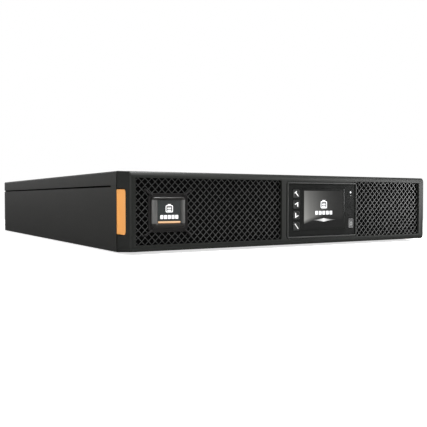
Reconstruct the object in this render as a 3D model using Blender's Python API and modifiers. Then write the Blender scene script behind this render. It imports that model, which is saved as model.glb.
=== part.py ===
"""A two-unit-high rack uninterruptible power supply, as an assembly of separate pieces.

Metres, +Z up. The front faces -Y and +X is to the right as one looks at it. The origin is on the
floor, at the middle of the overall width and of the overall depth, rear stud included.
"""

import math

import bmesh
import bpy
from mathutils import Matrix, Vector

# Overall sizes
CASE_WIDTH = 0.430
CASE_HEIGHT = 0.085
CASE_DEPTH = 0.520
BEZEL_DEPTH = 0.035
REAR_PROUD = 0.008

# Sheet metal and fits
SHEET = 0.0012
GAP = 0.0003
CLEARANCE = 0.0005
BEND_RADIUS = 0.0018
PANEL_FLANGE = 0.0130
COVER_LIP = 0.0115
COVER_SCREW_X = (-0.1950, 0.0, 0.1950)
COVER_SCREW_DROP = 0.0062
DIVIDER_FOOT = 0.0090

# How far a cutter stands clear of the face that it cuts
CUT_REACH = 0.0050

# The seam between the cover's flange and the tray's side
SEAM_DROP = 0.0158
SEAM_HEIGHT = 0.0020
SEAM_START = 0.0154

# Bezel
BEZEL_WALL = 0.0025
BEZEL_FRONT_WALL = 0.0035
BEZEL_FLOOR_GAP = 0.0004
BEZEL_TOP_TAPER = 0.0015
BEZEL_BOTTOM_TAPER = 0.0020
BEZEL_TOP_BEVEL = 0.0034
BEZEL_BOTTOM_BEVEL = 0.0030
BEZEL_SIDE_BEVEL = 0.0015
BEZEL_BEVEL_DEPTH = 0.0030
BEZEL_CORNER_RADIUS = 0.0030
FRAME_LEFT = 0.0070
FRAME_RIGHT = 0.0100
FRAME_TOP = 0.0080
FRAME_BOTTOM = 0.0090

# Grilles: plates behind the bezel's front wall, with diamond holes
GRILLE_THICKNESS = 0.0020
GRILLE_OVERLAP = 0.0024
GRILLE_PITCH = 0.0152
GRILLE_RIB = 0.0022

# Display block, placed from the battery door's right edge, and its screen, keys and lamp on it
DISPLAY_SPACE = 0.0255
DISPLAY_WIDTH = 0.1045
DISPLAY_LOW = 0.0120
DISPLAY_HEIGHT = 0.0610
DISPLAY_SETBACK = 0.0015
DISPLAY_WALL = 0.0022
DISPLAY_STRIP = 0.0100
DISPLAY_RIGHT_BAR = 0.0025
SCREEN_INSET = 0.0230
SCREEN_WIDTH = 0.0620
SCREEN_LOW = 0.0210
SCREEN_HEIGHT = 0.0450
LENS_MARGIN = 0.0025
LENS_THICKNESS = 0.0010
SCREEN_THICKNESS = 0.0030
BOARD_THICKNESS = 0.0016
DISPLAY_BOARD_BACK = 0.0080
HOUSING_WALL = 0.0016
HOUSING_CORNER = 0.0010
CABLE_HOLE_INSET = 0.0350
CABLE_HOLE = (0.0300, 0.0160)

# Keys and lamp on the display block
KEY_SIZE = 0.0100
KEY_PITCH = 0.0127
KEY_INSET = 0.0117
KEY_TOP_Z = 0.0619
KEY_PROUD = 0.0008
KEY_FLANGE = 0.0009
KEY_FLANGE_LIP = 0.0006
KEY_CORNER = 0.0022
POWER_KEY_WIDTH = 0.0086
POWER_KEY_HEIGHT = 0.0120
POWER_KEY_INSET = 0.0067
POWER_KEY_Z = 0.0255
LAMP_INSET = 0.0067
LAMP_Z = 0.0639
LAMP_RADIUS = 0.0012

# Badge
BADGE_INSET = 0.0443
BADGE_WIDTH = 0.0380
BADGE_HEIGHT = 0.0325
BADGE_DROP = 0.0008
BADGE_SEAT_WIDTH = 0.0440
BADGE_SEAT_HEIGHT = 0.0410
BADGE_SIDE_BORDER = 0.0056
BADGE_TOP_BORDER = 0.0030
BADGE_BOTTOM_BORDER = 0.0048
BADGE_THICKNESS = 0.0032
BADGE_RECESS = 0.0010
BADGE_EDGE = 0.0012
BADGE_SLOPE = 0.0016
BADGE_CORNERS = (0.0020, 0.0030)
BADGE_SPIGOT_RADIUS = 0.0060
BADGE_SNAP_RADIUS = 0.0072
BADGE_SNAP_LENGTH = 0.0015

# Side grips of the bezel
GRIP_DEPTH = 0.0235
GRIP_HEIGHT = 0.0465
GRIP_CORNER = 0.0035
GRIP_THICKNESS = 0.0022
GRIP_LIP = 0.0020
GRIP_SCOOP = 0.0010
GRIP_SCOOP_MARGIN = 0.0020
GRIP_NOTCH = 0.0060

# Battery pack
BATTERY_COUNT = 4
BATTERY_WIDTH = 0.1510
BATTERY_LENGTH = 0.0940
BATTERY_HEIGHT = 0.0650
BATTERY_EDGE = 0.0015
TERMINAL_HEIGHT = 0.0040
TERMINAL_GAP = 0.0110
TERMINAL_ROOT = 0.0020
TERMINAL_INSETS = (0.0120, 0.0200)
TERMINAL_WIDTH = 0.0065
TERMINAL_Z = (0.0200, 0.0215)
BACK_GAP = 0.0020
SLED_SIDE_HEIGHT = 0.0240
SLED_INSET = 0.0125
DOOR_THICKNESS = 0.0015
DOOR_MARGIN = 0.0055
DOOR_LOW = 0.0058
DOOR_HEIGHT = 0.0690
DOOR_SCREW_INSET = 0.0120
SLED_BACK_HEIGHT = 0.0450
TAB_LENGTH = 0.0120
TAB_INSET = 0.0001
HANDLE_RADIUS = 0.0030
HANDLE_SPAN = 0.0800
HANDLE_REACH = 0.0200
HANDLE_BEND = 0.0070
HANDLE_DROP = 0.0040
PLUG_RISE = 0.0300
PLUG_WIDTH = 0.0400
PLUG_HEIGHT = 0.0160
PLUG_LENGTH = 0.0120
SOCKET_WALL = 0.0040
SOCKET_DEPTH = 0.0260
LEAD_SPREAD = 0.0100
LEAD_STEP = 0.0060
LEAD_BEND = 0.0120

# Air slots of the front bulkhead
VENT_PITCH = 0.0085
VENT_WIDTH = 0.0040
VENT_Z = (0.0160, 0.0700)
VENT_MARGINS = (0.0080, 0.0060)

# Electronics
BOARD_Z = 0.0090
BOARD_FRONT = 0.0300
BOARD_LENGTH = 0.3900
BOARD_SIDE_GAPS = (0.0120, 0.0050)
STANDOFF_RADIUS = 0.0030
STANDOFF_INSET = 0.0070
STANDOFF_SHARES = (0.02, 0.50, 0.98)
HEATSINK_WIDTH = 0.0520
HEATSINK_LENGTH = 0.1500
HEATSINK_TOP = 0.0640
HEATSINK_FINS = 8
FIN_THICKNESS = 0.0018
HEATSINK_FOOT = 0.0050
HEATSINK_INSET = 0.0100
HEATSINK_START = 0.1100
CAPACITOR_COUNT = 2
CAPACITOR_RADIUS = 0.0150
CAPACITOR_HEIGHT = 0.0460
CAPACITOR_START = 0.1650
CAPACITOR_SPACE = 0.0060
CHOKE_COUNT = 2
CHOKE_RADIUS = 0.0190
CHOKE_THICKNESS = 0.0085
CHOKE_START = 0.0550
CHOKE_SPACE = 0.0120
CORE_START = 0.2850
CORE_SIZE = (0.0600, 0.0600, 0.0460)
CORE_WINDOW_X = (0.0080, 0.0200)
CORE_WINDOW_Z = (0.0080, 0.0380)
LEAD_RADIUS = 0.0024

# Fans
FAN_SIZE = 0.0600
FAN_DEPTH = 0.0250
FAN_BORE = 0.0285
FAN_TIP = 0.0273
FAN_HUB = 0.0150
FAN_BLADES = 7
FAN_HOLE_SPACING = 0.0500
FAN_INSET = 0.0130
FAN_SPACE = 0.0080
FAN_SEAT = 0.0025
FAN_ARM = 0.0016
FAN_ARM_LAP = 0.0006
FAN_ARM_INSET = 0.0002
ROTOR_FRONT_GAP = 0.0020
ROTOR_BACK_GAP = 0.0010
BLADE_ROOT = 0.0030
BLADE_THICKNESS = 0.0012
BLADE_CHORD = 0.86
BLADE_ANGLE = 38
GUARD_THICKNESS = 0.0015
GUARD_BAR = 0.0016
GUARD_RINGS = (0.0100, 0.0190, 0.0280)
GUARD_EAR = 0.0042
GUARD_BAR_INSET = 0.0001

# Rear sockets
OUTLET_PITCH = 0.0310
OUTLETS_PER_BANK = 4
OUTLET_ROWS_Z = (0.0245, 0.0575)
OUTLET_CORE = (0.0195, 0.0115)
OUTLET_CHANNEL = 0.0025
OUTLET_DEPTH = 0.0160
OUTLET_NOTCH = 0.0030
CONTACT_SLOT = (0.0022, 0.0050)
CONTACT_MARGIN = 0.0020
SOCKET_BACK = 0.0040
FLANGE_THICKNESS = 0.0020
FLANGE_OVERLAP = 0.0024
LARGE_CORE = (0.0265, 0.0185)
LARGE_ROW_Z = (0.0215, 0.0562)
SOCKET_BODY_WALL = 0.0020
PIN_WIDTH = 0.0080
PIN_THICKNESS = 0.0020
PIN_LENGTH = 0.0125
LARGE_SLOT = (0.0090, 0.0024)
LARGE_CONTACTS = ((-0.0065, -0.0040), (0.0065, -0.0040), (0.0, 0.0045))

# Small rear pieces
REAR_SPACE = 0.0020
BREAKER_Z = 0.0240
BREAKER_BUSH = 0.0060
BREAKER_NUT = 0.0085
BREAKER_BUTTON = 0.0034
BREAKER_BODY = (0.0160, 0.0260, 0.0280)
BREAKER_NUT_HEIGHT = 0.0030
BREAKER_PROUD = 0.0020
BREAKER_BORE = 0.0120
EXTERNAL_Z = 0.0600
EXTERNAL_CELL = 0.0110
EXTERNAL_WALL = 0.0045
EXTERNAL_RIM = 0.0030
EXTERNAL_RIB = 0.0026
EXTERNAL_DEPTH = 0.0200
EXTERNAL_CELL_DEPTH = 0.0160
PORTS_HALF = 0.0240
PORTS_TALL = 0.0065
PORTS_DEPTH = 0.0180
PORTS_PROUD = 0.0010
PORTS_OFFSET = 0.0080
PORT_CELL_HEIGHT = 0.0080
PORT_CELLS = ((-0.0210, -0.0090, 0.0120), (-0.0050, 0.0070, 0.0120), (0.0120, 0.0206, 0.0050))
CARD_Z = 0.0600
CARD_WIDTH = 0.0540
CARD_HEIGHT = 0.0240
CARD_SLOT_LAP = (0.0040, 0.0020)
PORTS_Z = 0.0260
STUD_Z = 0.0250
STUD_RADIUS = 0.0020
STUD_OFFSET = 0.0110
STUD_INNER = 0.0060
STUD_NUT = (0.0042, 0.0032)

# Fasteners
SCREW_RADIUS = 0.0015
SCREW_LENGTH = 0.0060
THUMB_RADIUS = 0.0042
DOOR_SCREW_RADIUS = 0.0028
THUMB_HEIGHT = 0.0060

# Planes along Y, and edges that several pieces share
HALF_WIDTH = CASE_WIDTH / 2
MID_Z = CASE_HEIGHT / 2
SEAM_Z = CASE_HEIGHT - SEAM_DROP
FRONT_Y = -(BEZEL_DEPTH + CASE_DEPTH + REAR_PROUD) / 2
CASE_FRONT_Y = FRONT_Y + BEZEL_DEPTH
CASE_REAR_Y = CASE_FRONT_Y + CASE_DEPTH
PANEL_OUT_Y = CASE_REAR_Y - SHEET - GAP
PANEL_IN_Y = PANEL_OUT_Y - SHEET
WALL_STEP = SHEET + GAP
INNER_HALF = HALF_WIDTH - WALL_STEP - SHEET
TRAY_SHOULDER = SEAM_Z - SEAM_HEIGHT / 2
COVER_UNDER = CASE_HEIGHT - SHEET
GRILLE_FRONT_Y = FRONT_Y + BEZEL_FRONT_WALL + GAP
GRILLE_BACK_Y = GRILLE_FRONT_Y + GRILLE_THICKNESS
OPENING_Z = (FRAME_BOTTOM, CASE_HEIGHT - FRAME_TOP)
DISPLAY_TOP = DISPLAY_LOW + DISPLAY_HEIGHT
FASCIA_Y = FRONT_Y + DISPLAY_SETBACK
FASCIA_BACK_Y = FASCIA_Y + DISPLAY_WALL
SLED_INNER = BATTERY_WIDTH + 2 * GAP + 2 * CLEARANCE
SLED_WIDTH = SLED_INNER + 2 * SHEET
SLED_LEFT = -HALF_WIDTH + SLED_INSET
SLED_RIGHT = SLED_LEFT + SLED_WIDTH
SLED_FLOOR = SHEET + CLEARANCE
PACK_PITCHES = BATTERY_COUNT * BATTERY_LENGTH + BATTERY_COUNT // 2 * TERMINAL_GAP + BACK_GAP
SLED_LENGTH = PACK_PITCHES + 2 * SHEET + 4 * CLEARANCE
DOOR_FRONT_Y = CASE_FRONT_Y - GAP - DOOR_THICKNESS
SLED_REAR_Y = CASE_FRONT_Y - GAP + SLED_LENGTH
DOOR_SIDE = CLEARANCE + DOOR_MARGIN
DISPLAY_LEFT = SLED_RIGHT + DOOR_SIDE + DISPLAY_SPACE
DISPLAY_RIGHT = DISPLAY_LEFT + DISPLAY_WIDTH
SCREEN_LEFT = DISPLAY_LEFT + SCREEN_INSET
KEY_X = DISPLAY_LEFT + KEY_INSET
LAMP_X = DISPLAY_RIGHT - LAMP_INSET
OPENING_LEFT = (-HALF_WIDTH + FRAME_LEFT, DISPLAY_LEFT - DISPLAY_STRIP)
OPENING_RIGHT = (DISPLAY_RIGHT + DISPLAY_RIGHT_BAR, HALF_WIDTH - FRAME_RIGHT)
DIVIDER_X = SLED_RIGHT + 3 * CLEARANCE
BOARD_LEFT = DIVIDER_X + BOARD_SIDE_GAPS[0]
BOARD_RIGHT = INNER_HALF - BOARD_SIDE_GAPS[1]
BOARD_TOP = BOARD_Z + BOARD_THICKNESS
BOARD_FRONT_Y = CASE_FRONT_Y + BOARD_FRONT
BADGE_X = -HALF_WIDTH + BADGE_INSET
BADGE_Z = MID_Z - BADGE_DROP
PART_NAME = "uninterruptible_power_supply"

# Rear layout, worked out from the right-hand fan towards the left, flange beside flange
FAN_RIGHT = HALF_WIDTH - FAN_INSET - FAN_SIZE / 2
FAN_X = (FAN_RIGHT - FAN_SIZE - FAN_SPACE, FAN_RIGHT)
FAN_Z = MID_Z
BODY_MARGIN = OUTLET_CHANNEL + SOCKET_BODY_WALL
BANK_HALF = (OUTLETS_PER_BANK - 1) * OUTLET_PITCH / 2 + OUTLET_CORE[0] / 2 + BODY_MARGIN
BANK_RIGHT = FAN_X[0] - FAN_SIZE / 2 - REAR_SPACE
OUTLET_BANK_X = BANK_RIGHT - FLANGE_OVERLAP - BANK_HALF
LARGE_RIGHT = OUTLET_BANK_X - BANK_HALF - FLANGE_OVERLAP - REAR_SPACE
LARGE_HALF = LARGE_CORE[0] / 2 + BODY_MARGIN
LARGE_SOCKET_X = LARGE_RIGHT - FLANGE_OVERLAP - LARGE_HALF
EXTERNAL_RIGHT = LARGE_SOCKET_X - LARGE_HALF - FLANGE_OVERLAP - REAR_SPACE
EXTERNAL_HALF = EXTERNAL_CELL + EXTERNAL_WALL
EXTERNAL_TALL = EXTERNAL_CELL / 2 + EXTERNAL_RIM
EXTERNAL_X = EXTERNAL_RIGHT - FLANGE_OVERLAP - EXTERNAL_HALF
BREAKER_X = EXTERNAL_X
CARD_RIGHT = EXTERNAL_X - EXTERNAL_HALF - FLANGE_OVERLAP - REAR_SPACE
CARD_X = CARD_RIGHT - CARD_WIDTH / 2 - 2 * FLANGE_OVERLAP
PORTS_X = CARD_X + PORTS_OFFSET
STUD_X = PORTS_X - PORTS_HALF - STUD_OFFSET


def start():
    """Clears the scene and makes the collections for the parts and for their cutters."""
    for old in list(bpy.data.objects):
        bpy.data.objects.remove(old)
    for name, hidden in ((PART_NAME, False), ("cutters", True)):
        found = bpy.data.collections.new(name)
        found.hide_render = hidden
        bpy.context.scene.collection.children.link(found)


def material(name, colour, roughness, metallic=0.0):
    made = bpy.data.materials.get(name)
    if made is None:
        made = bpy.data.materials.new(name)
        made.use_nodes = True
        shader = made.node_tree.nodes["Principled BSDF"]
        shader.inputs["Base Color"].default_value = (*colour, 1.0)
        shader.inputs["Roughness"].default_value = roughness
        shader.inputs["Metallic"].default_value = metallic
    return made


def black_paint():
    return material("black_paint", (0.035, 0.035, 0.034), 0.55)


def bezel_plastic():
    return material("bezel_plastic", (0.028, 0.028, 0.027), 0.45)


def gloss_black():
    return material("gloss_black", (0.012, 0.012, 0.012), 0.12)


def orange_plastic():
    return material("orange_plastic", (0.85, 0.36, 0.08), 0.45)


def socket_plastic():
    return material("socket_plastic", (0.018, 0.018, 0.018), 0.5)


def battery_case():
    return material("battery_case", (0.06, 0.06, 0.065), 0.5)


def board_green():
    return material("board_green", (0.02, 0.12, 0.05), 0.5)


def zinc_steel():
    return material("zinc_steel", (0.55, 0.55, 0.56), 0.35, 1.0)


def aluminium():
    return material("aluminium", (0.62, 0.63, 0.65), 0.4, 1.0)


def brass():
    return material("brass", (0.65, 0.48, 0.2), 0.35, 1.0)


def copper_winding():
    return material("copper_winding", (0.45, 0.17, 0.07), 0.4, 1.0)


def lead_red():
    return material("lead_red", (0.5, 0.03, 0.02), 0.5)


def lens_clear():
    return material("lens_clear", (0.05, 0.05, 0.05), 0.05)


def screen_dark():
    return material("screen_dark", (0.03, 0.03, 0.035), 0.2)


def lamp_clear():
    return material("lamp_clear", (0.8, 0.85, 0.8), 0.2)


def place(name, mesh, finish, helper=False):
    """Links a mesh as a part, or as a hidden helper that cuts or joins one."""
    made = bpy.data.objects.new(name, mesh)
    bpy.data.collections["cutters" if helper else PART_NAME].objects.link(made)
    if helper:
        made.hide_render = True
        made.display_type = "WIRE"
    else:
        mesh.materials.append(finish)
    return made


def build(name, finish, *steps, helper=False):
    """Makes one object from steps, each a function that adds a primitive to a bmesh."""
    shape = bmesh.new()
    for step in steps:
        step(shape)
    mesh = bpy.data.meshes.new(name)
    shape.to_mesh(mesh)
    shape.free()
    return place(name, mesh, finish, helper)


def block(low, high):
    """A box between two corners."""
    low, high = Vector(low), Vector(high)
    size = high - low

    def step(shape):
        matrix = Matrix.Translation((low + high) / 2) @ Matrix.Diagonal((*size, 1.0))
        bmesh.ops.create_cube(shape, size=1.0, matrix=matrix)

    return step


def rod(start_point, direction, radius, length, sides=16):
    """A cylinder or prism that starts at a point and runs along a direction."""
    direction = Vector(direction).normalized()
    centre = Vector(start_point) + direction * length / 2
    aim = direction.to_track_quat("Z", "Y").to_matrix().to_4x4()
    matrix = Matrix.Translation(centre) @ aim

    def step(shape):
        bmesh.ops.create_cone(shape, cap_ends=True, segments=sides, radius1=radius, radius2=radius,
                              depth=length, matrix=matrix)

    return step


def boolean(target, other, operation):
    change = target.modifiers.new(f"{operation.lower()} {other.name}", "BOOLEAN")
    change.operation = operation
    change.object = other
    return target


def cut(target, *steps):
    other = build(target.name + "_cutter", None, *steps, helper=True)
    return boolean(target, other, "DIFFERENCE")


def join(target, *steps):
    for step in steps:
        boolean(target, build(target.name + "_joined", None, step, helper=True), "UNION")
    return target


def bevel(target, width):
    change = target.modifiers.new("edges", "BEVEL")
    change.width = width
    change.segments = 1
    change.limit_method = "ANGLE"
    change.angle_limit = math.radians(40)
    return target


TURNS = {
    "x": (math.pi / 2, 0.0, math.pi / 2),
    "y": (math.pi / 2, 0.0, 0.0),
    "z": (0.0, 0.0, 0.0),
}


def flat(name, finish, loops, axis, low, high, helper=False):
    """A prism of a flat outline, from low to high along an axis, made a mesh.

    The outline is in (x, z) for axis y, in (y, z) for axis x and in (x, y) for axis z. A loop
    inside another one is a hole.
    """
    curve = bpy.data.curves.new(name, "CURVE")
    curve.dimensions = "2D"
    curve.fill_mode = "BOTH"
    curve.extrude = (high - low) / 2
    for loop in loops:
        spline = curve.splines.new("POLY")
        spline.points.add(len(loop) - 1)
        for point, (across, up) in zip(spline.points, loop):
            point.co = (across, up, 0.0, 1.0)
        spline.use_cyclic_u = True
    guide = bpy.data.objects.new(name, curve)
    bpy.context.scene.collection.objects.link(guide)
    guide.rotation_euler = TURNS[axis]
    guide.location["xyz".index(axis)] = (low + high) / 2
    return as_mesh(guide, name, finish, helper)


def as_mesh(guide, name, finish, helper=False):
    """The evaluated mesh of a curve as a new object in its place, with its caps welded."""
    bpy.context.view_layer.update()
    graph = bpy.context.evaluated_depsgraph_get()
    mesh = bpy.data.meshes.new_from_object(guide.evaluated_get(graph))
    matrix = guide.matrix_world.copy()
    bpy.data.objects.remove(guide)
    shape = bmesh.new()
    shape.from_mesh(mesh)
    bmesh.ops.remove_doubles(shape, verts=shape.verts, dist=1e-6)
    shape.to_mesh(mesh)
    shape.free()
    mesh.materials.clear()
    made = place(name, mesh, finish, helper)
    made.matrix_world = matrix
    return made


def tube(name, finish, paths, radius):
    """Round rods or wires along paths of points, as one object of separate solids."""
    curve = bpy.data.curves.new(name, "CURVE")
    curve.dimensions = "3D"
    curve.bevel_depth = radius
    curve.bevel_resolution = 2
    curve.use_fill_caps = True
    for path in paths:
        spline = curve.splines.new("POLY")
        spline.points.add(len(path) - 1)
        for point, place_at in zip(spline.points, path):
            point.co = (*place_at, 1.0)
    guide = bpy.data.objects.new(name, curve)
    bpy.context.scene.collection.objects.link(guide)
    return as_mesh(guide, name, finish)


def arc(centre, radius, start_angle, end_angle, steps):
    """Points along an arc in a flat outline, both ends included."""
    points = []
    for step in range(steps + 1):
        angle = math.radians(start_angle + (end_angle - start_angle) * step / steps)
        points.append((centre[0] + radius * math.cos(angle), centre[1] + radius * math.sin(angle)))
    return points


def rounded(low, high, radius, steps=3):
    """A rectangle with round corners, anticlockwise from its lower right corner."""
    points = []
    corners = ((high[0] - radius, low[1] + radius, -90), (high[0] - radius, high[1] - radius, 0),
               (low[0] + radius, high[1] - radius, 90), (low[0] + radius, low[1] + radius, 180))
    for across, up, angle in corners:
        points += arc((across, up), radius, angle, angle + 90, steps)
    return points


def smooth_path(points, steps):
    """A smooth curve through the points, with a few samples in each stretch between them."""
    points = [Vector(point) for point in points]
    ends = [points[0] * 2 - points[1], *points, points[-1] * 2 - points[-2]]
    path = []
    for before, start_at, end_at, after in zip(ends, ends[1:], ends[2:], ends[3:]):
        for step in range(steps):
            share = step / steps
            path.append(0.5 * (
                2 * start_at + (end_at - before) * share
                + (2 * before - 5 * start_at + 4 * end_at - after) * share ** 2
                + (3 * start_at - before - 3 * end_at + after) * share ** 3
            ))
    return path + [points[-1]]


def loft(name, finish, sections):
    """A closed solid through sections, each (y, outline) with the same number of points."""
    mesh = bpy.data.meshes.new(name)
    corners = [(across, y, up) for y, outline in sections for across, up in outline]
    count = len(sections[0][1])
    faces = []
    for ring in range(len(sections) - 1):
        for corner in range(count):
            after = (corner + 1) % count
            first, second = ring * count, (ring + 1) * count
            faces.append((first + corner, first + after, second + after, second + corner))
    faces.append(tuple(reversed(range(count))))
    faces.append(tuple(range(len(corners) - count, len(corners))))
    mesh.from_pydata(corners, [], faces)
    shape = bmesh.new()
    shape.from_mesh(mesh)
    bmesh.ops.recalc_face_normals(shape, faces=shape.faces)
    shape.to_mesh(mesh)
    shape.free()
    return place(name, mesh, finish)


def turned(name, finish, loops, origin, steps):
    """Rings turned about the Y direction through a point, from closed loops of (radius, y)."""
    mesh = bpy.data.meshes.new(name)
    corners, edges = [], []
    for loop in loops:
        first = len(corners)
        corners += [(radius, 0.0, along) for radius, along in loop]
        edges += [(first + i, first + (i + 1) % len(loop)) for i in range(len(loop))]
    mesh.from_pydata(corners, edges, [])
    made = place(name, mesh, finish)
    made.rotation_euler = (-math.pi / 2, 0.0, 0.0)
    made.location = origin
    turn = made.modifiers.new("turn", "SCREW")
    turn.steps = steps
    turn.render_steps = steps
    turn.use_merge_vertices = True
    turn.merge_threshold = 1e-5
    return made


def smooth(*made):
    for item in made:
        item.data.shade_smooth()
        item.data.set_sharp_from_angle(angle=math.radians(35))


def thumb_screw(at, direction, radius=THUMB_RADIUS, height=THUMB_HEIGHT):
    """Steps for a screw whose knurled head sits on a place, and for its shank the other way."""
    at, direction = Vector(at), Vector(direction)
    overlap = height / 2
    head = rod(at + direction * GAP, direction, radius, height, 14)
    shank = rod(at + direction * (GAP + overlap), -direction, SCREW_RADIUS, SCREW_LENGTH + overlap, 8)
    return head, shank


def screw_holes(target, places, direction):
    """Clearance holes for screws, through the sheet under their heads."""
    direction = Vector(direction)
    return cut(target, *[
        rod(Vector(at) + direction * SCREW_LENGTH, -direction, SCREW_RADIUS + GAP, 2 * SCREW_LENGTH, 8)
        for at in places
    ])


# Where fasteners go, shared by the screws and by their holes
COVER_SCREW_PLACES = [(x, CASE_REAR_Y, CASE_HEIGHT - COVER_SCREW_DROP) for x in COVER_SCREW_X]
FAN_CORNERS = [(i * FAN_HOLE_SPACING / 2, k * FAN_HOLE_SPACING / 2) for i in (-1, 1) for k in (-1, 1)]
GUARD_BACK_Y = PANEL_OUT_Y + GAP + GUARD_THICKNESS
FAN_SCREW_PLACES = [(x + i, GUARD_BACK_Y, FAN_Z + k) for x in FAN_X for i, k in FAN_CORNERS]
DOOR_SCREW_PLACES = [
    (x, DOOR_FRONT_Y, z)
    for x in (SLED_LEFT - DOOR_MARGIN / 2 - CLEARANCE, SLED_RIGHT + DOOR_MARGIN / 2 + CLEARANCE)
    for z in (DOOR_LOW + DOOR_SCREW_INSET, DOOR_LOW + DOOR_HEIGHT - DOOR_SCREW_INSET)
]
CARD_SCREW_PLACES = [
    (CARD_X + side * (CARD_WIDTH / 2 + FLANGE_OVERLAP), PANEL_OUT_Y + GAP + SHEET, CARD_Z)
    for side in (-1, 1)
]


def tray_side(sign):
    """The outline of one side of the tray, from the floor's outer bend up and back down inside."""
    outer = arc((HALF_WIDTH - BEND_RADIUS, BEND_RADIUS), BEND_RADIUS, -90, 0, 3)
    inner = arc((HALF_WIDTH - BEND_RADIUS, BEND_RADIUS), BEND_RADIUS - SHEET, 0, -90, 2)
    points = [*outer, (HALF_WIDTH, TRAY_SHOULDER), (HALF_WIDTH - WALL_STEP, TRAY_SHOULDER),
              (HALF_WIDTH - WALL_STEP, COVER_UNDER - CLEARANCE), (INNER_HALF, COVER_UNDER - CLEARANCE),
              (INNER_HALF, TRAY_SHOULDER - SHEET), (HALF_WIDTH - SHEET, TRAY_SHOULDER - SHEET), *inner]
    return [(sign * across, up) for across, up in points]


def make_base_tray():
    """Floor and two sides, with the main board's standoffs pressed into the floor."""
    outline = tray_side(1) + list(reversed(tray_side(-1)))
    made = flat("base_tray", black_paint(), [outline], "y", CASE_FRONT_Y, CASE_REAR_Y)
    reach = BOARD_Z - GAP - SHEET / 2
    standoffs = [
        rod((x, BOARD_FRONT_Y + share * BOARD_LENGTH, SHEET / 2), (0, 0, 1), STANDOFF_RADIUS, reach, 6)
        for x in (BOARD_LEFT + STANDOFF_INSET, BOARD_RIGHT - STANDOFF_INSET) for share in STANDOFF_SHARES
    ]
    return boolean(made, build("standoffs", None, *standoffs, helper=True), "UNION")


def make_top_cover():
    """Top sheet with two side flanges. The seam slot under each flange stops short of the front."""
    flange_low = TRAY_SHOULDER + GAP
    outer = arc((HALF_WIDTH - BEND_RADIUS, CASE_HEIGHT - BEND_RADIUS), BEND_RADIUS, 0, 90, 3)
    inner = arc((HALF_WIDTH - BEND_RADIUS, CASE_HEIGHT - BEND_RADIUS), BEND_RADIUS - SHEET, 90, 0, 2)
    side = [(HALF_WIDTH, flange_low), *outer]
    back = [*inner, (HALF_WIDTH - SHEET, flange_low)]
    outline = side + [(-a, u) for a, u in reversed(side)] + [(-a, u) for a, u in reversed(back)] + back
    made = flat("top_cover", black_paint(), [outline], "y", CASE_FRONT_Y, CASE_REAR_Y)
    slot_top = SEAM_Z + SEAM_HEIGHT / 2
    cut(made, block((-HALF_WIDTH - CUT_REACH, CASE_FRONT_Y + SEAM_START, flange_low - CUT_REACH),
                    (HALF_WIDTH + CUT_REACH, CASE_REAR_Y + CUT_REACH, slot_top)))
    lip_half = INNER_HALF - 2 * CLEARANCE
    join(made, block((-lip_half, CASE_REAR_Y - SHEET, CASE_HEIGHT - COVER_LIP),
                     (lip_half, CASE_REAR_Y, CASE_HEIGHT - SHEET / 2)))
    return screw_holes(made, COVER_SCREW_PLACES, (0, 1, 0))


def folded_panel(name, outer_y, flange_direction):
    """An upright sheet between the tray's sides, with a flange folded along each side."""
    half = INNER_HALF - CLEARANCE
    inner_y = outer_y + flange_direction * SHEET
    flange_y = outer_y + flange_direction * PANEL_FLANGE
    outline = [(-half, outer_y), (half, outer_y), (half, flange_y), (half - SHEET, flange_y),
               (half - SHEET, inner_y), (-half + SHEET, inner_y), (-half + SHEET, flange_y),
               (-half, flange_y)]
    return flat(name, black_paint(), [outline], "z", SHEET + GAP, COVER_UNDER - CLEARANCE)


def body_half(core):
    """Half the width and height of a socket's body behind the panel."""
    return [size / 2 + BODY_MARGIN for size in core]


def panel_slot(x, z, wide, tall):
    """A cutter through the rear panel for a body of that half width and height, with room around it."""
    wide, tall = wide + CLEARANCE, tall + CLEARANCE
    return block((x - wide, PANEL_IN_Y - CUT_REACH, z - tall), (x + wide, PANEL_OUT_Y + CUT_REACH, z + tall))


def panel_hole(x, z, radius, sides):
    """A round cutter through the rear panel."""
    return rod((x, PANEL_IN_Y - CUT_REACH, z), (0, 1, 0), radius, SHEET + 2 * CUT_REACH, sides)


def make_rear_panel():
    made = folded_panel("rear_panel", PANEL_OUT_Y, -1)
    bank_tall = body_half(OUTLET_CORE)[1]
    card_wide, card_tall = CARD_WIDTH / 2 - CARD_SLOT_LAP[0], CARD_HEIGHT / 2 - CARD_SLOT_LAP[1]
    cutters = [panel_hole(x, FAN_Z, FAN_BORE, 32) for x in FAN_X]
    cutters += [panel_slot(OUTLET_BANK_X, z, BANK_HALF, bank_tall) for z in OUTLET_ROWS_Z]
    cutters += [panel_slot(LARGE_SOCKET_X, z, *body_half(LARGE_CORE)) for z in LARGE_ROW_Z]
    cutters += [
        panel_hole(BREAKER_X, BREAKER_Z, BREAKER_BUSH + CLEARANCE, 16),
        panel_slot(EXTERNAL_X, EXTERNAL_Z, EXTERNAL_HALF, EXTERNAL_TALL),
        panel_slot(CARD_X, CARD_Z, card_wide, card_tall),
        panel_slot(PORTS_X, PORTS_Z, PORTS_HALF, PORTS_TALL),
        panel_hole(STUD_X, STUD_Z, STUD_RADIUS + CLEARANCE, 12),
    ]
    cut(made, *cutters)
    return screw_holes(made, COVER_SCREW_PLACES + FAN_SCREW_PLACES + CARD_SCREW_PLACES, (0, 1, 0))


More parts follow.
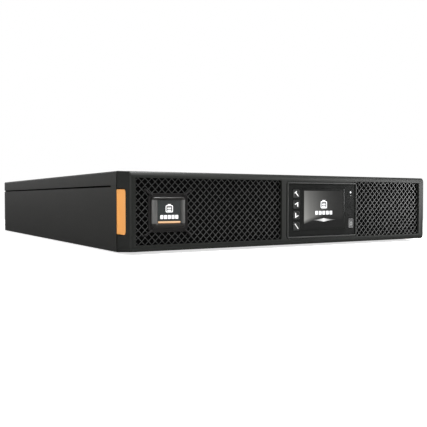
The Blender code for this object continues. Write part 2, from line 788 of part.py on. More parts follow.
def make_front_bulkhead():
    """The chassis's front sheet: the battery bay's opening, a display cable hole and vent slots."""
    made = folded_panel("front_bulkhead", CASE_FRONT_Y, 1)
    front, back = CASE_FRONT_Y - CUT_REACH, CASE_FRONT_Y + CUT_REACH
    bay = block((SLED_LEFT - CLEARANCE, front, 0.0), (SLED_RIGHT + CLEARANCE, back, bay_top()))
    left, (width, height) = DISPLAY_LEFT + CABLE_HOLE_INSET, CABLE_HOLE
    cable = block((left, front, MID_Z - height / 2), (left + width, back, MID_Z + height / 2))
    first, last = OPENING_RIGHT[0] + VENT_MARGINS[0], INNER_HALF - VENT_MARGINS[1]
    vents = []
    for index in range(int((last - first) / VENT_PITCH)):
        left = first + index * VENT_PITCH
        vents.append(block((left, front, VENT_Z[0]), (left + VENT_WIDTH, back, VENT_Z[1])))
    cut(made, bay, cable, *vents)
    return screw_holes(made, DOOR_SCREW_PLACES, (0, -1, 0))


def bay_top():
    return SLED_FLOOR + SHEET + BATTERY_HEIGHT + 4 * CLEARANCE


def make_bay_divider():
    """A folded wall between the battery bay and the electronics, standing on the tray's floor."""
    low, high = SHEET + GAP, COVER_UNDER - CLEARANCE
    foot_end = DIVIDER_X + DIVIDER_FOOT
    outline = [(DIVIDER_X, low), (foot_end, low), (foot_end, low + SHEET),
               (DIVIDER_X + SHEET, low + SHEET), (DIVIDER_X + SHEET, high), (DIVIDER_X, high)]
    return flat("bay_divider", zinc_steel(), [outline], "y", CASE_FRONT_Y + SCREW_LENGTH, SLED_REAR_Y)


def bezel_section(inset_side, low, high, radius):
    return rounded((-HALF_WIDTH + inset_side, low), (HALF_WIDTH - inset_side, high), radius)


def make_bezel_frame():
    """Moulded front cover: tapering sides, bevelled front edges, and three openings in its front."""
    back_y = CASE_FRONT_Y - GAP
    low, high = BEZEL_FLOOR_GAP, CASE_HEIGHT
    taper_low, taper_high = low + BEZEL_BOTTOM_TAPER, high - BEZEL_TOP_TAPER
    made = loft("bezel_frame", bezel_plastic(), [
        (FRONT_Y, bezel_section(BEZEL_SIDE_BEVEL, taper_low + BEZEL_BOTTOM_BEVEL,
                                taper_high - BEZEL_TOP_BEVEL, BEZEL_CORNER_RADIUS)),
        (FRONT_Y + BEZEL_BEVEL_DEPTH, bezel_section(0.0, taper_low, taper_high, BEZEL_CORNER_RADIUS)),
        (back_y, bezel_section(0.0, low, high, BEND_RADIUS)),
    ])
    wall = BEZEL_WALL
    cavity = block((-HALF_WIDTH + wall, FRONT_Y + BEZEL_FRONT_WALL, taper_low + wall),
                   (HALF_WIDTH - wall, back_y + CUT_REACH, taper_high - wall))
    cut(made, cavity)
    front, back = FRONT_Y - CUT_REACH, FRONT_Y + BEZEL_FRONT_WALL + CUT_REACH
    windows = [block((left, front, OPENING_Z[0]), (right, back, OPENING_Z[1]))
               for left, right in (OPENING_LEFT, OPENING_RIGHT)]
    windows.append(block((DISPLAY_LEFT - CLEARANCE, front, DISPLAY_LOW - CLEARANCE),
                         (DISPLAY_RIGHT + CLEARANCE, back, DISPLAY_TOP + CLEARANCE)))
    cut(made, *windows)
    for sign in (-1, 1):
        x_low, x_high = sorted((sign * (HALF_WIDTH - GRIP_NOTCH), sign * (HALF_WIDTH + CUT_REACH)))
        notch = flat("grip_notch", None, [grip_outline(CLEARANCE)], "x", x_low, x_high, helper=True)
        boolean(made, notch, "DIFFERENCE")
    return made


def grip_outline(room):
    """The grip's side view in (y, z), with round corners towards the front, and open at the back."""
    back = CASE_FRONT_Y - GAP + (CUT_REACH if room else 0.0)
    front = CASE_FRONT_Y - GRIP_DEPTH - room
    low, high = MID_Z - GRIP_HEIGHT / 2 - room, MID_Z + GRIP_HEIGHT / 2 + room
    radius = GRIP_CORNER
    return ([(back, low), (back, high)]
            + arc((front + radius, high - radius), radius, 90, 180, 4)
            + arc((front + radius, low + radius), radius, 180, 270, 4))


def make_grip(name, sign):
    """A coloured finger grip in the bezel's side: a scooped face and a wider plate behind the wall."""
    face_x = HALF_WIDTH - GAP
    x_low, x_high = sorted((sign * face_x, sign * (face_x - BEZEL_WALL - GRIP_THICKNESS)))
    made = flat(name, orange_plastic(), [grip_outline(0.0)], "x", x_low, x_high)
    plate_out = HALF_WIDTH - BEZEL_WALL - GAP
    plate_in = face_x - BEZEL_WALL - GRIP_THICKNESS
    x_low, x_high = sorted((sign * plate_out, sign * (plate_in + GRIP_THICKNESS / 4)))
    join(made, block(
        (x_low, CASE_FRONT_Y - GRIP_DEPTH - GRIP_LIP, MID_Z - GRIP_HEIGHT / 2 - GRIP_LIP),
        (x_high, CASE_FRONT_Y - 4 * GAP, MID_Z + GRIP_HEIGHT / 2 + GRIP_LIP)))
    half_chord = GRIP_DEPTH / 2 - GRIP_SCOOP_MARGIN
    radius = (half_chord ** 2 + GRIP_SCOOP ** 2) / (2 * GRIP_SCOOP)
    centre = (sign * (face_x + radius - GRIP_SCOOP), CASE_FRONT_Y - GRIP_DEPTH / 2, 0.0)
    return cut(made, rod(centre, (0, 0, 1), radius, CASE_HEIGHT, 96))


def diamond_holes(x_range, keep_out=None):
    """Cutters for a staggered field of diamond holes that fits whole between its edges."""
    low, high = OPENING_Z
    half = (GRILLE_PITCH - GRILLE_RIB * math.sqrt(2)) / 2
    columns = int((x_range[1] - x_range[0]) / GRILLE_PITCH)
    rows = int((high - low) / GRILLE_PITCH)
    x_start = (x_range[0] + x_range[1] - (columns - 1) * GRILLE_PITCH) / 2
    z_start = (low + high - (rows - 1) * GRILLE_PITCH) / 2
    steps = []
    for stagger in (0, 1):
        for column in range(columns - stagger):
            for row in range(rows - stagger):
                x = x_start + (column + stagger / 2) * GRILLE_PITCH
                z = z_start + (row + stagger / 2) * GRILLE_PITCH
                if keep_out and abs(x - keep_out[0]) < keep_out[1] and abs(z - MID_Z) < keep_out[2]:
                    continue
                steps.append(rod((x, GRILLE_FRONT_Y - CUT_REACH, z), (0, 1, 0), half, 3 * CUT_REACH, 4))
    return steps


def make_grille(name, x_range, keep_out=None):
    made = build(name, bezel_plastic(), block(
        (x_range[0] - GRILLE_OVERLAP, GRILLE_FRONT_Y, OPENING_Z[0] - GRILLE_OVERLAP),
        (x_range[1] + GRILLE_OVERLAP, GRILLE_BACK_Y, OPENING_Z[1] + GRILLE_OVERLAP)))
    return cut(made, *diamond_holes(x_range, keep_out))


def make_grilles():
    """The left grille keeps a plain seat for the badge, with a round hole for its spigot."""
    half = GRILLE_PITCH / 2
    left = make_grille("grille_left", OPENING_LEFT,
                       (BADGE_X, BADGE_SEAT_WIDTH / 2 + half, BADGE_SEAT_HEIGHT / 2 + half))
    cut(left, rod((BADGE_X, GRILLE_FRONT_Y - CUT_REACH, BADGE_Z), (0, 1, 0),
                  BADGE_SPIGOT_RADIUS + GAP, 3 * CUT_REACH, 24))
    make_grille("grille_right", OPENING_RIGHT)


def make_badge():
    """A square badge that turns on a spigot, and the plate that fills its face."""
    back_y = GRILLE_FRONT_Y - GAP
    front_y = back_y - BADGE_THICKNESS
    front_corner, back_corner = BADGE_CORNERS
    wide, tall = BADGE_WIDTH / 2, BADGE_HEIGHT / 2

    def outline(margin, corner):
        return rounded((BADGE_X - wide + margin, BADGE_Z - tall + margin),
                       (BADGE_X + wide - margin, BADGE_Z + tall - margin), corner)

    frame = loft("badge_frame", bezel_plastic(), [
        (front_y, outline(BADGE_EDGE, front_corner)),
        (front_y + BADGE_SLOPE, outline(0.0, back_corner)),
        (back_y, outline(0.0, back_corner)),
    ])
    left, right = BADGE_X - wide + BADGE_SIDE_BORDER, BADGE_X + wide - BADGE_SIDE_BORDER
    bottom, top = BADGE_Z - tall + BADGE_BOTTOM_BORDER, BADGE_Z + tall - BADGE_TOP_BORDER
    cut(frame, block((left, front_y - CUT_REACH, bottom),
                     (right, front_y + BADGE_RECESS + GAP, top)))
    spigot_end = GRILLE_BACK_Y + GAP + BADGE_SNAP_LENGTH
    join(frame,
         rod((BADGE_X, back_y - SHEET, BADGE_Z), (0, 1, 0), BADGE_SPIGOT_RADIUS, spigot_end - back_y, 24),
         rod((BADGE_X, GRILLE_BACK_Y + GAP, BADGE_Z), (0, 1, 0), BADGE_SNAP_RADIUS, BADGE_SNAP_LENGTH, 24))
    build("badge_face", gloss_black(), block((left + GAP, front_y + BADGE_RECESS / 2, bottom + GAP),
                                             (right - GAP, front_y + BADGE_RECESS, top - GAP)))


def key_places():
    """Each key's name, middle and size: four in a column, and the power key at the lower right."""
    names = ("escape_key", "up_key", "down_key", "enter_key")
    places = [(name, KEY_X, KEY_TOP_Z - i * KEY_PITCH, KEY_SIZE, KEY_SIZE) for i, name in enumerate(names)]
    power_x = DISPLAY_RIGHT - POWER_KEY_INSET
    places.append(("power_key", power_x, POWER_KEY_Z, POWER_KEY_WIDTH, POWER_KEY_HEIGHT))
    return places


def key_outline(x, z, width, height, room=0.0):
    wide, tall = width / 2 + room, height / 2 + room
    return rounded((x - wide, z - tall), (x + wide, z + tall), KEY_CORNER + room)


def make_keys():
    for name, x, z, width, height in key_places():
        face_y = FASCIA_Y - KEY_PROUD
        stem_end = FASCIA_BACK_Y + GAP + KEY_FLANGE
        made = flat(name, gloss_black(), [key_outline(x, z, width, height)], "y", face_y, stem_end)
        wide, tall = width / 2 + KEY_FLANGE_LIP, height / 2 + KEY_FLANGE_LIP
        join(made, block((x - wide, FASCIA_BACK_Y + GAP, z - tall), (x + wide, stem_end, z + tall)))


def make_display():
    back_y = CASE_FRONT_Y - GAP
    housing = flat("display_housing", gloss_black(),
                   [rounded((DISPLAY_LEFT, DISPLAY_LOW), (DISPLAY_RIGHT, DISPLAY_TOP), HOUSING_CORNER, 1)],
                   "y", FASCIA_Y, back_y)
    wall = HOUSING_WALL
    cut(housing, block((DISPLAY_LEFT + wall, FASCIA_BACK_Y, DISPLAY_LOW + wall),
                       (DISPLAY_RIGHT - wall, back_y + CUT_REACH, DISPLAY_TOP - wall)))
    screen_right, screen_top = SCREEN_LEFT + SCREEN_WIDTH, SCREEN_LOW + SCREEN_HEIGHT
    margin = LENS_MARGIN
    front, back = FASCIA_Y - CUT_REACH, FASCIA_BACK_Y + CUT_REACH
    cutters = [
        block((SCREEN_LEFT - margin, front, SCREEN_LOW - margin),
              (screen_right + margin, FASCIA_Y + LENS_THICKNESS + GAP, screen_top + margin)),
        block((SCREEN_LEFT, front, SCREEN_LOW), (screen_right, back, screen_top)),
    ]
    for cutter in cutters:
        cut(housing, cutter)
    for name, *key in key_places():
        hole = flat(name + "_hole", None, [key_outline(*key, GAP)], "y", front, back, helper=True)
        boolean(housing, hole, "DIFFERENCE")
    cut(housing, rod((LAMP_X, front, LAMP_Z), (0, 1, 0), LAMP_RADIUS + GAP, back - front, 12))
    build("display_lens", lens_clear(), block(
        (SCREEN_LEFT - margin + GAP, FASCIA_Y, SCREEN_LOW - margin + GAP),
        (screen_right + margin - GAP, FASCIA_Y + LENS_THICKNESS, screen_top + margin - GAP)))
    screen_y = FASCIA_BACK_Y + GAP
    lap = 3 * CLEARANCE
    build("display_screen", screen_dark(), block(
        (SCREEN_LEFT - lap, screen_y, SCREEN_LOW - lap),
        (screen_right + lap, screen_y + SCREEN_THICKNESS, screen_top + lap)))
    board_y = FASCIA_Y + DISPLAY_BOARD_BACK
    build("display_board", board_green(), block(
        (DISPLAY_LEFT + wall + CLEARANCE, board_y, DISPLAY_LOW + wall + CLEARANCE),
        (DISPLAY_RIGHT - wall - CLEARANCE, board_y + BOARD_THICKNESS, DISPLAY_TOP - wall - CLEARANCE)))
    build("status_lamp", lamp_clear(),
          rod((LAMP_X, FASCIA_Y - GAP, LAMP_Z), (0, 1, 0), LAMP_RADIUS, board_y - FASCIA_Y, 12))


def make_battery(index):
    """A sealed block on its side. Neighbours face each other, so that their terminals meet."""
    left = SLED_LEFT + SHEET + GAP + CLEARANCE
    bottom = SLED_FLOOR + SHEET + GAP
    pairs, second = divmod(index, 2)
    front = CASE_FRONT_Y - GAP + SHEET + 2 * CLEARANCE + index * BATTERY_LENGTH
    front += pairs * (TERMINAL_GAP + BACK_GAP) + second * TERMINAL_GAP
    back = front + BATTERY_LENGTH
    made = build(f"battery_{index + 1}", battery_case(), block(
        (left, front, bottom), (left + BATTERY_WIDTH, back, bottom + BATTERY_HEIGHT)))
    bevel(made, BATTERY_EDGE)
    face, out = (front, -1) if second else (back, 1)
    z_low, z_high = TERMINAL_Z
    for x in (left + TERMINAL_INSETS[0], left + BATTERY_WIDTH - TERMINAL_INSETS[1]):
        y_low, y_high = sorted((face - out * TERMINAL_ROOT, face + out * TERMINAL_HEIGHT))
        join(made, block((x, y_low, bottom + z_low), (x + TERMINAL_WIDTH, y_high, bottom + z_high)))


def make_battery_pack():
    """The sled with its door, its pull handle and its plug, and the batteries on it."""
    low = SLED_FLOOR
    outline = [(SLED_LEFT, low), (SLED_RIGHT, low), (SLED_RIGHT, low + SLED_SIDE_HEIGHT),
               (SLED_RIGHT - SHEET, low + SLED_SIDE_HEIGHT), (SLED_RIGHT - SHEET, low + SHEET),
               (SLED_LEFT + SHEET, low + SHEET), (SLED_LEFT + SHEET, low + SLED_SIDE_HEIGHT),
               (SLED_LEFT, low + SLED_SIDE_HEIGHT)]
    door_back = CASE_FRONT_Y - GAP
    sled = flat("battery_sled", black_paint(), [outline], "y", CASE_FRONT_Y + CLEARANCE, SLED_REAR_Y)
    tabs = [block((left + TAB_INSET, door_back - DOOR_THICKNESS / 2, DOOR_LOW + SHEET),
                  (left + SHEET - TAB_INSET, CASE_FRONT_Y + TAB_LENGTH, low + SLED_SIDE_HEIGHT - SHEET))
            for left in (SLED_LEFT, SLED_RIGHT - SHEET)]
    join(sled, *tabs,
         block((SLED_LEFT - DOOR_SIDE, DOOR_FRONT_Y, DOOR_LOW),
               (SLED_RIGHT + DOOR_SIDE, door_back, DOOR_LOW + DOOR_HEIGHT)),
         block((SLED_LEFT + SHEET / 2, SLED_REAR_Y - SHEET, low + SHEET / 2),
               (SLED_RIGHT - SHEET / 2, SLED_REAR_Y + SHEET / 100, low + SLED_BACK_HEIGHT)))
    screw_holes(sled, DOOR_SCREW_PLACES, (0, -1, 0))
    for index in range(BATTERY_COUNT):
        make_battery(index)
    middle, bar_z = (SLED_LEFT + SLED_RIGHT) / 2, MID_Z - HANDLE_DROP
    foot_y, bar_y, bend = DOOR_FRONT_Y - GAP, DOOR_FRONT_Y - HANDLE_REACH, HANDLE_BEND
    half = HANDLE_SPAN / 2
    right_side = [(middle + half, foot_y, bar_z)] + [
        (middle + across, y, bar_z)
        for across, y in arc((half - bend, bar_y + bend), bend, 0, -90, 4)
    ]
    left_side = [(2 * middle - x, y, z) for x, y, z in reversed(right_side)]
    smooth(tube("pull_handle", black_paint(), [right_side + left_side], HANDLE_RADIUS))
    for index, at in enumerate(DOOR_SCREW_PLACES):
        head, shank = thumb_screw(at, (0, -1, 0), DOOR_SCREW_RADIUS)
        join(build(f"door_screw_{index + 1}", zinc_steel(), head), shank)
    plug_z = low + PLUG_RISE
    build("battery_plug", socket_plastic(), block(
        (middle - PLUG_WIDTH / 2, SLED_REAR_Y + GAP, plug_z - PLUG_HEIGHT / 2),
        (middle + PLUG_WIDTH / 2, SLED_REAR_Y + GAP + PLUG_LENGTH, plug_z + PLUG_HEIGHT / 2)))
    make_battery_socket(middle, plug_z)


def make_battery_socket(middle, plug_z):
    """The fixed half of the pack's connector, on a pedestal, and the two leads to the main board."""
    front = SLED_REAR_Y + GAP + CLEARANCE
    half = PLUG_WIDTH / 2 + SOCKET_WALL
    top = plug_z + PLUG_HEIGHT / 2 + SOCKET_WALL
    made = build("battery_socket", socket_plastic(), block(
        (middle - half, front, SHEET + GAP), (middle + half, front + SOCKET_DEPTH, top)))
    cut(made, block(
        (middle - PLUG_WIDTH / 2 - CLEARANCE, front - CUT_REACH, plug_z - PLUG_HEIGHT / 2 - CLEARANCE),
        (middle + PLUG_WIDTH / 2 + CLEARANCE, front + PLUG_LENGTH + CLEARANCE,
         plug_z + PLUG_HEIGHT / 2 + CLEARANCE)))
    for name, side in (("battery_lead_positive", 1), ("battery_lead_negative", -1)):
        x, back = middle + side * LEAD_SPREAD, front + SOCKET_DEPTH + GAP
        turn_y = back + 2.5 * LEAD_BEND - side * LEAD_STEP
        end_x = BOARD_LEFT + 1.3 * LEAD_BEND - side * LEAD_STEP
        land_y = BOARD_FRONT_Y + BOARD_LENGTH - LEAD_BEND
        path = smooth_path([
            (x, back, plug_z), (x, back + LEAD_BEND, plug_z), (x + LEAD_BEND, turn_y, plug_z),
            (DIVIDER_X - LEAD_BEND, turn_y, plug_z), (end_x, land_y + LEAD_BEND / 2, plug_z),
            (end_x, land_y, BOARD_TOP + LEAD_BEND), (end_x, land_y, BOARD_TOP + GAP),
        ], 3)
        smooth(tube(name, lead_red() if side > 0 else socket_plastic(), [path], LEAD_RADIUS))


def make_main_board():
    build("main_board", board_green(), block(
        (BOARD_LEFT, BOARD_FRONT_Y, BOARD_Z), (BOARD_RIGHT, BOARD_FRONT_Y + BOARD_LENGTH, BOARD_TOP)))


def make_heatsink(name, left):
    """A finned extrusion: a thick foot with upright fins, running along the air's way."""
    foot_low, foot_high = BOARD_TOP + GAP, BOARD_TOP + GAP + HEATSINK_FOOT
    pitch = (HEATSINK_WIDTH - FIN_THICKNESS) / (HEATSINK_FINS - 1)
    outline = [(left, foot_low), (left + HEATSINK_WIDTH, foot_low)]
    for fin in reversed(range(HEATSINK_FINS)):
        x = left + fin * pitch
        outline += [(x + FIN_THICKNESS, HEATSINK_TOP), (x, HEATSINK_TOP)]
        if fin:
            outline += [(x, foot_high), (x - pitch + FIN_THICKNESS, foot_high)]
    front = BOARD_FRONT_Y + HEATSINK_START
    return flat(name, aluminium(), [outline], "y", front, front + HEATSINK_LENGTH)


def make_electronics():
    make_main_board()
    make_heatsink("heatsink_left", BOARD_LEFT + HEATSINK_INSET)
    make_heatsink("heatsink_right", BOARD_RIGHT - HEATSINK_INSET - HEATSINK_WIDTH)
    floor = BOARD_TOP + GAP
    middle = (BOARD_LEFT + BOARD_RIGHT) / 2
    pitch = 2 * CAPACITOR_RADIUS + CAPACITOR_SPACE
    for index in range(CAPACITOR_COUNT):
        y = BOARD_FRONT_Y + CAPACITOR_START + index * pitch
        smooth(build(f"bus_capacitor_{index + 1}", socket_plastic(),
                     rod((middle, y, floor), (0, 0, 1), CAPACITOR_RADIUS, CAPACITOR_HEIGHT, 24)))
    inner, outer = CHOKE_RADIUS - CHOKE_THICKNESS, CHOKE_RADIUS + CHOKE_THICKNESS
    ring = [(inner, 0.0), (inner, 2 * CHOKE_THICKNESS), (outer, 2 * CHOKE_THICKNESS), (outer, 0.0)]
    for index in range(CHOKE_COUNT):
        x = middle + (index - (CHOKE_COUNT - 1) / 2) * (2 * outer + CHOKE_SPACE)
        choke = turned(f"output_choke_{index + 1}", copper_winding(), [ring],
                       (x, BOARD_FRONT_Y + CHOKE_START, floor), 24)
        choke.rotation_euler = TURNS["z"]
    make_transformer(middle, floor)


def make_transformer(middle, floor):
    """A block with two windows, for the windings that pass through its core."""
    width, length, height = CORE_SIZE
    front = BOARD_FRONT_Y + CORE_START
    core = build("transformer", battery_case(), block(
        (middle - width / 2, front, floor), (middle + width / 2, front + length, floor + height)))
    near, far = CORE_WINDOW_X
    low, high = floor + CORE_WINDOW_Z[0], floor + CORE_WINDOW_Z[1]
    front, back = front - CUT_REACH, front + length + CUT_REACH
    cut(core, block((middle - far, front, low), (middle - near, back, high)),
        block((middle + near, front, low), (middle + far, back, high)))


def make_fan(side, x):
    """A square frame with a bore and a motor seat on four arms, its rotor, and a guard outside."""
    back = PANEL_IN_Y - GAP
    front = back - FAN_DEPTH
    half = FAN_SIZE / 2
    frame = build(f"fan_frame_{side}", socket_plastic(),
                  block((x - half, front, FAN_Z - half), (x + half, back, FAN_Z + half)))
    cut(frame, rod((x, front - CUT_REACH, FAN_Z), (0, 1, 0), FAN_BORE, FAN_DEPTH + 2 * CUT_REACH, 32))
    join(frame, rod((x, back - FAN_SEAT, FAN_Z), (0, 1, 0), FAN_HUB, FAN_SEAT, 24))
    arm, reach = FAN_ARM, FAN_BORE + FAN_ARM_LAP
    low, high = back - FAN_SEAT + FAN_ARM_INSET, back - FAN_ARM_INSET
    join(frame, block((x - reach, low, FAN_Z - arm), (x + reach, high, FAN_Z + arm)),
         block((x - arm, low, FAN_Z - reach), (x + arm, high, FAN_Z + reach)))
    screw_holes(frame, [p for p in FAN_SCREW_PLACES if abs(p[0] - x) < half], (0, 1, 0))
    make_rotor(f"fan_rotor_{side}", x, front + ROTOR_FRONT_GAP, back - FAN_SEAT - ROTOR_BACK_GAP)
    make_guard(f"fan_guard_{side}", x)


def make_rotor(name, x, front, back):
    """A hub with slanted blades, with its own origin on the fan's axis."""
    hub = build(name, socket_plastic(), rod((0, 0, 0), (0, 1, 0), FAN_HUB, back - front, 24))
    hub.location = (x, front, FAN_Z)
    depth = back - front
    for blade in range(FAN_BLADES):
        angle = 2 * math.pi * blade / FAN_BLADES
        root, length = FAN_HUB - BLADE_ROOT, FAN_TIP - FAN_HUB + BLADE_ROOT
        turn = Matrix.Rotation(angle, 4, "Y") @ Matrix.Translation((0, depth / 2, root + length / 2))
        pitch = Matrix.Rotation(math.radians(BLADE_ANGLE), 4, "Z")
        size = Matrix.Diagonal((BLADE_THICKNESS, depth * BLADE_CHORD, length, 1.0))

        def step(shape, matrix=turn @ pitch @ size):
            bmesh.ops.create_cube(shape, size=1.0, matrix=matrix)

        other = build(name + "_blade", None, step, helper=True)
        other.parent = hub
        boolean(hub, other, "UNION")


def make_guard(name, x):
    """Flat rings on two crossed bars that reach the fan's screws."""
    front, back = PANEL_OUT_Y + GAP, GUARD_BACK_Y
    half = GUARD_BAR / 2
    loops = [[(radius - half, 0.0), (radius - half, back - front), (radius + half, back - front),
              (radius + half, 0.0)] for radius in GUARD_RINGS]
    made = turned(name, zinc_steel(), loops, (x, front, FAN_Z), 20)
    reach, bar_depth = FAN_HOLE_SPACING / 2 * math.sqrt(2), back - front - 2 * GUARD_BAR_INSET
    for angle in (45, 135):
        matrix = (Matrix.Translation((x, (front + back) / 2, FAN_Z))
                  @ Matrix.Rotation(math.radians(angle), 4, "Y")
                  @ Matrix.Diagonal((2 * reach, bar_depth, 2 * GUARD_BAR, 1.0)))

        def step(shape, matrix=matrix):
            bmesh.ops.create_cube(shape, size=1.0, matrix=matrix)

        join(made, step)
    ears = [rod((x + i, front, FAN_Z + k), (0, 1, 0), GUARD_EAR, back - front, 12) for i, k in FAN_CORNERS]
    join(made, *ears)
    return screw_holes(made, [p for p in FAN_SCREW_PLACES if abs(p[0] - x) < FAN_SIZE / 2], (0, 1, 0))


def socket_loops(x, z, core, notch):
    """The channel around a socket's core: an outer loop and an inner one, with two cut corners."""
    loops = []
    for room in (OUTLET_CHANNEL, 0.0):
        wide, tall = core[0] / 2 + room, core[1] / 2 + room
        cut_off = notch + room * (2 - math.sqrt(2)) if notch else 0.0
        loop = [(x - wide, z - tall), (x + wide, z - tall)]
        if notch:
            loop += [(x + wide, z + tall - cut_off), (x + wide - cut_off, z + tall),
                     (x - wide + cut_off, z + tall), (x - wide, z + tall - cut_off)]
        else:
            loop += [(x + wide, z + tall), (x - wide, z + tall)]
        loops.append(loop)
    return loops


def socket_slots(x, z, core, face_y):
    """Cutters for a socket's three contact slots."""
    wide, tall = CONTACT_SLOT[0] / 2, CONTACT_SLOT[1] / 2
    deep = OUTLET_DEPTH - CONTACT_MARGIN
    side, drop = core[0] / 3.4, core[1] / 6
    return [block((a - wide, face_y - deep, b - tall), (a + wide, face_y + CUT_REACH, b + tall))
            for a, b in ((x - side, z - drop), (x + side, z - drop), (x, z + drop))]


def make_socket_body(name, x_low, x_high, z, core):
    """A flange outside the panel and a body through it."""
    tall = body_half(core)[1]
    face_y = PANEL_OUT_Y + GAP + FLANGE_THICKNESS
    made = build(name, socket_plastic(), block(
        (x_low - FLANGE_OVERLAP, PANEL_OUT_Y + GAP, z - tall - FLANGE_OVERLAP),
        (x_high + FLANGE_OVERLAP, face_y, z + tall + FLANGE_OVERLAP)))
    join(made, block((x_low, face_y - OUTLET_DEPTH - SOCKET_BACK, z - tall),
                     (x_high, face_y - FLANGE_THICKNESS / 2, z + tall)))
    return made, face_y


def make_outlet_bank(name, z):
    left, right = OUTLET_BANK_X - BANK_HALF, OUTLET_BANK_X + BANK_HALF
    made, face_y = make_socket_body(name, left, right, z, OUTLET_CORE)
    loops, slots = [], []
    for index in range(OUTLETS_PER_BANK):
        x = OUTLET_BANK_X + (index - (OUTLETS_PER_BANK - 1) / 2) * OUTLET_PITCH
        loops += socket_loops(x, z, OUTLET_CORE, OUTLET_NOTCH)
        slots += socket_slots(x, z, OUTLET_CORE, face_y)
    low, high = face_y - OUTLET_DEPTH, face_y + CUT_REACH
    channel = flat(name + "_channel", None, loops, "y", low, high, helper=True)
    boolean(made, channel, "DIFFERENCE")
    return cut(made, *slots)


def make_large_sockets():
    """The high-current outlet, and under it the mains inlet with its three blades."""
    wide = body_half(LARGE_CORE)[0]
    left, right = LARGE_SOCKET_X - wide, LARGE_SOCKET_X + wide
    low_z, high_z = LARGE_ROW_Z
    outlet, face_y = make_socket_body("high_current_outlet", left, right, high_z, LARGE_CORE)
    floor_y, clear_y = face_y - OUTLET_DEPTH, face_y + CUT_REACH
    channel = flat("large_channel", None, socket_loops(LARGE_SOCKET_X, high_z, LARGE_CORE, 0.0),
                   "y", floor_y, clear_y, helper=True)
    boolean(outlet, channel, "DIFFERENCE")
    half_wide, half_tall = LARGE_SLOT[0] / 2, LARGE_SLOT[1] / 2
    cut(outlet, *[
        block((x - half_wide, floor_y + CONTACT_MARGIN, z - half_tall),
              (x + half_wide, clear_y, z + half_tall))
        for x, z in large_contacts(high_z)])
    inlet = make_socket_body("mains_inlet", left, right, low_z, LARGE_CORE)[0]
    half_wide, half_tall = (LARGE_CORE[0] + OUTLET_CHANNEL) / 2, (LARGE_CORE[1] + OUTLET_CHANNEL) / 2
    cut(inlet, block((LARGE_SOCKET_X - half_wide, floor_y, low_z - half_tall),
                     (LARGE_SOCKET_X + half_wide, clear_y, low_z + half_tall)))
    half_wide, half_tall = PIN_WIDTH / 2, PIN_THICKNESS / 2
    join(inlet, *[
        block((x - half_wide, floor_y - FLANGE_THICKNESS / 2, z - half_tall),
              (x + half_wide, floor_y + PIN_LENGTH, z + half_tall))
        for x, z in large_contacts(low_z)])


def large_contacts(z):
    """Line, neutral and earth of a high-current socket whose middle is at that height."""
    return [(LARGE_SOCKET_X + across, z + up) for across, up in LARGE_CONTACTS]


def make_breaker():
    """A body behind the panel, its bush with a hexagonal nut outside, and the button in its bore."""
    face_y, back_y = PANEL_OUT_Y + GAP, PANEL_IN_Y - GAP
    width, depth, height = BREAKER_BODY
    middle = Vector((BREAKER_X, 0.0, BREAKER_Z))
    body = build("breaker_body", socket_plastic(), block(
        (BREAKER_X - width / 2, back_y - depth, BREAKER_Z - height / 2),
        (BREAKER_X + width / 2, back_y, BREAKER_Z + height / 2)))
    bush_y, outward = PANEL_IN_Y - FLANGE_THICKNESS, Vector((0, 1, 0))
    bush_length = face_y + BREAKER_NUT_HEIGHT / 2 - bush_y
    join(body, rod(middle + outward * bush_y, outward, BREAKER_BUSH, bush_length),
         rod(middle + outward * face_y, outward, BREAKER_NUT, BREAKER_NUT_HEIGHT, 6))
    bore_y = PANEL_IN_Y - BREAKER_BORE
    cut(body, rod(middle + outward * bore_y, outward, BREAKER_BUTTON + GAP, 2 * BREAKER_BORE))
    length = face_y + BREAKER_NUT_HEIGHT + BREAKER_PROUD - bore_y
    smooth(build("breaker_button", socket_plastic(),
                 rod(middle + outward * (bore_y + GAP), outward, BREAKER_BUTTON, length)))


def make_external_socket():
    """The connector for a second battery cabinet: two square cells in a flanged body."""
    wide, tall = EXTERNAL_HALF, EXTERNAL_TALL
    face_y = PANEL_OUT_Y + GAP + FLANGE_THICKNESS
    made = build("external_battery_socket", socket_plastic(), block(
        (EXTERNAL_X - wide - FLANGE_OVERLAP, PANEL_OUT_Y + GAP, EXTERNAL_Z - tall - FLANGE_OVERLAP),
        (EXTERNAL_X + wide + FLANGE_OVERLAP, face_y, EXTERNAL_Z + tall + FLANGE_OVERLAP)))
    join(made, block((EXTERNAL_X - wide, face_y - EXTERNAL_DEPTH, EXTERNAL_Z - tall),
                     (EXTERNAL_X + wide, face_y - FLANGE_THICKNESS / 2, EXTERNAL_Z + tall)))
    half = EXTERNAL_CELL / 2
    for side in (-1, 1):
        x = EXTERNAL_X + side * (EXTERNAL_CELL + EXTERNAL_RIB) / 2
        cut(made, block((x - half, face_y - EXTERNAL_CELL_DEPTH, EXTERNAL_Z - half),
                        (x + half, face_y + CUT_REACH, EXTERNAL_Z + half)))


def make_card_slot():
    """The blank over the communication card's slot, with its two captive thumb screws."""
    half = CARD_WIDTH / 2 + 2 * FLANGE_OVERLAP
    made = build("card_slot_cover", black_paint(), block(
        (CARD_X - half, PANEL_OUT_Y + GAP, CARD_Z - CARD_HEIGHT / 2),
        (CARD_X + half, PANEL_OUT_Y + GAP + SHEET, CARD_Z + CARD_HEIGHT / 2)))
    for at in CARD_SCREW_PLACES:
        join(made, rod(Vector(at) - Vector((0, SHEET / 2, 0)), (0, 1, 0), THUMB_RADIUS, THUMB_HEIGHT, 14),
             rod(at, (0, -1, 0), SCREW_RADIUS, SCREW_LENGTH, 8))


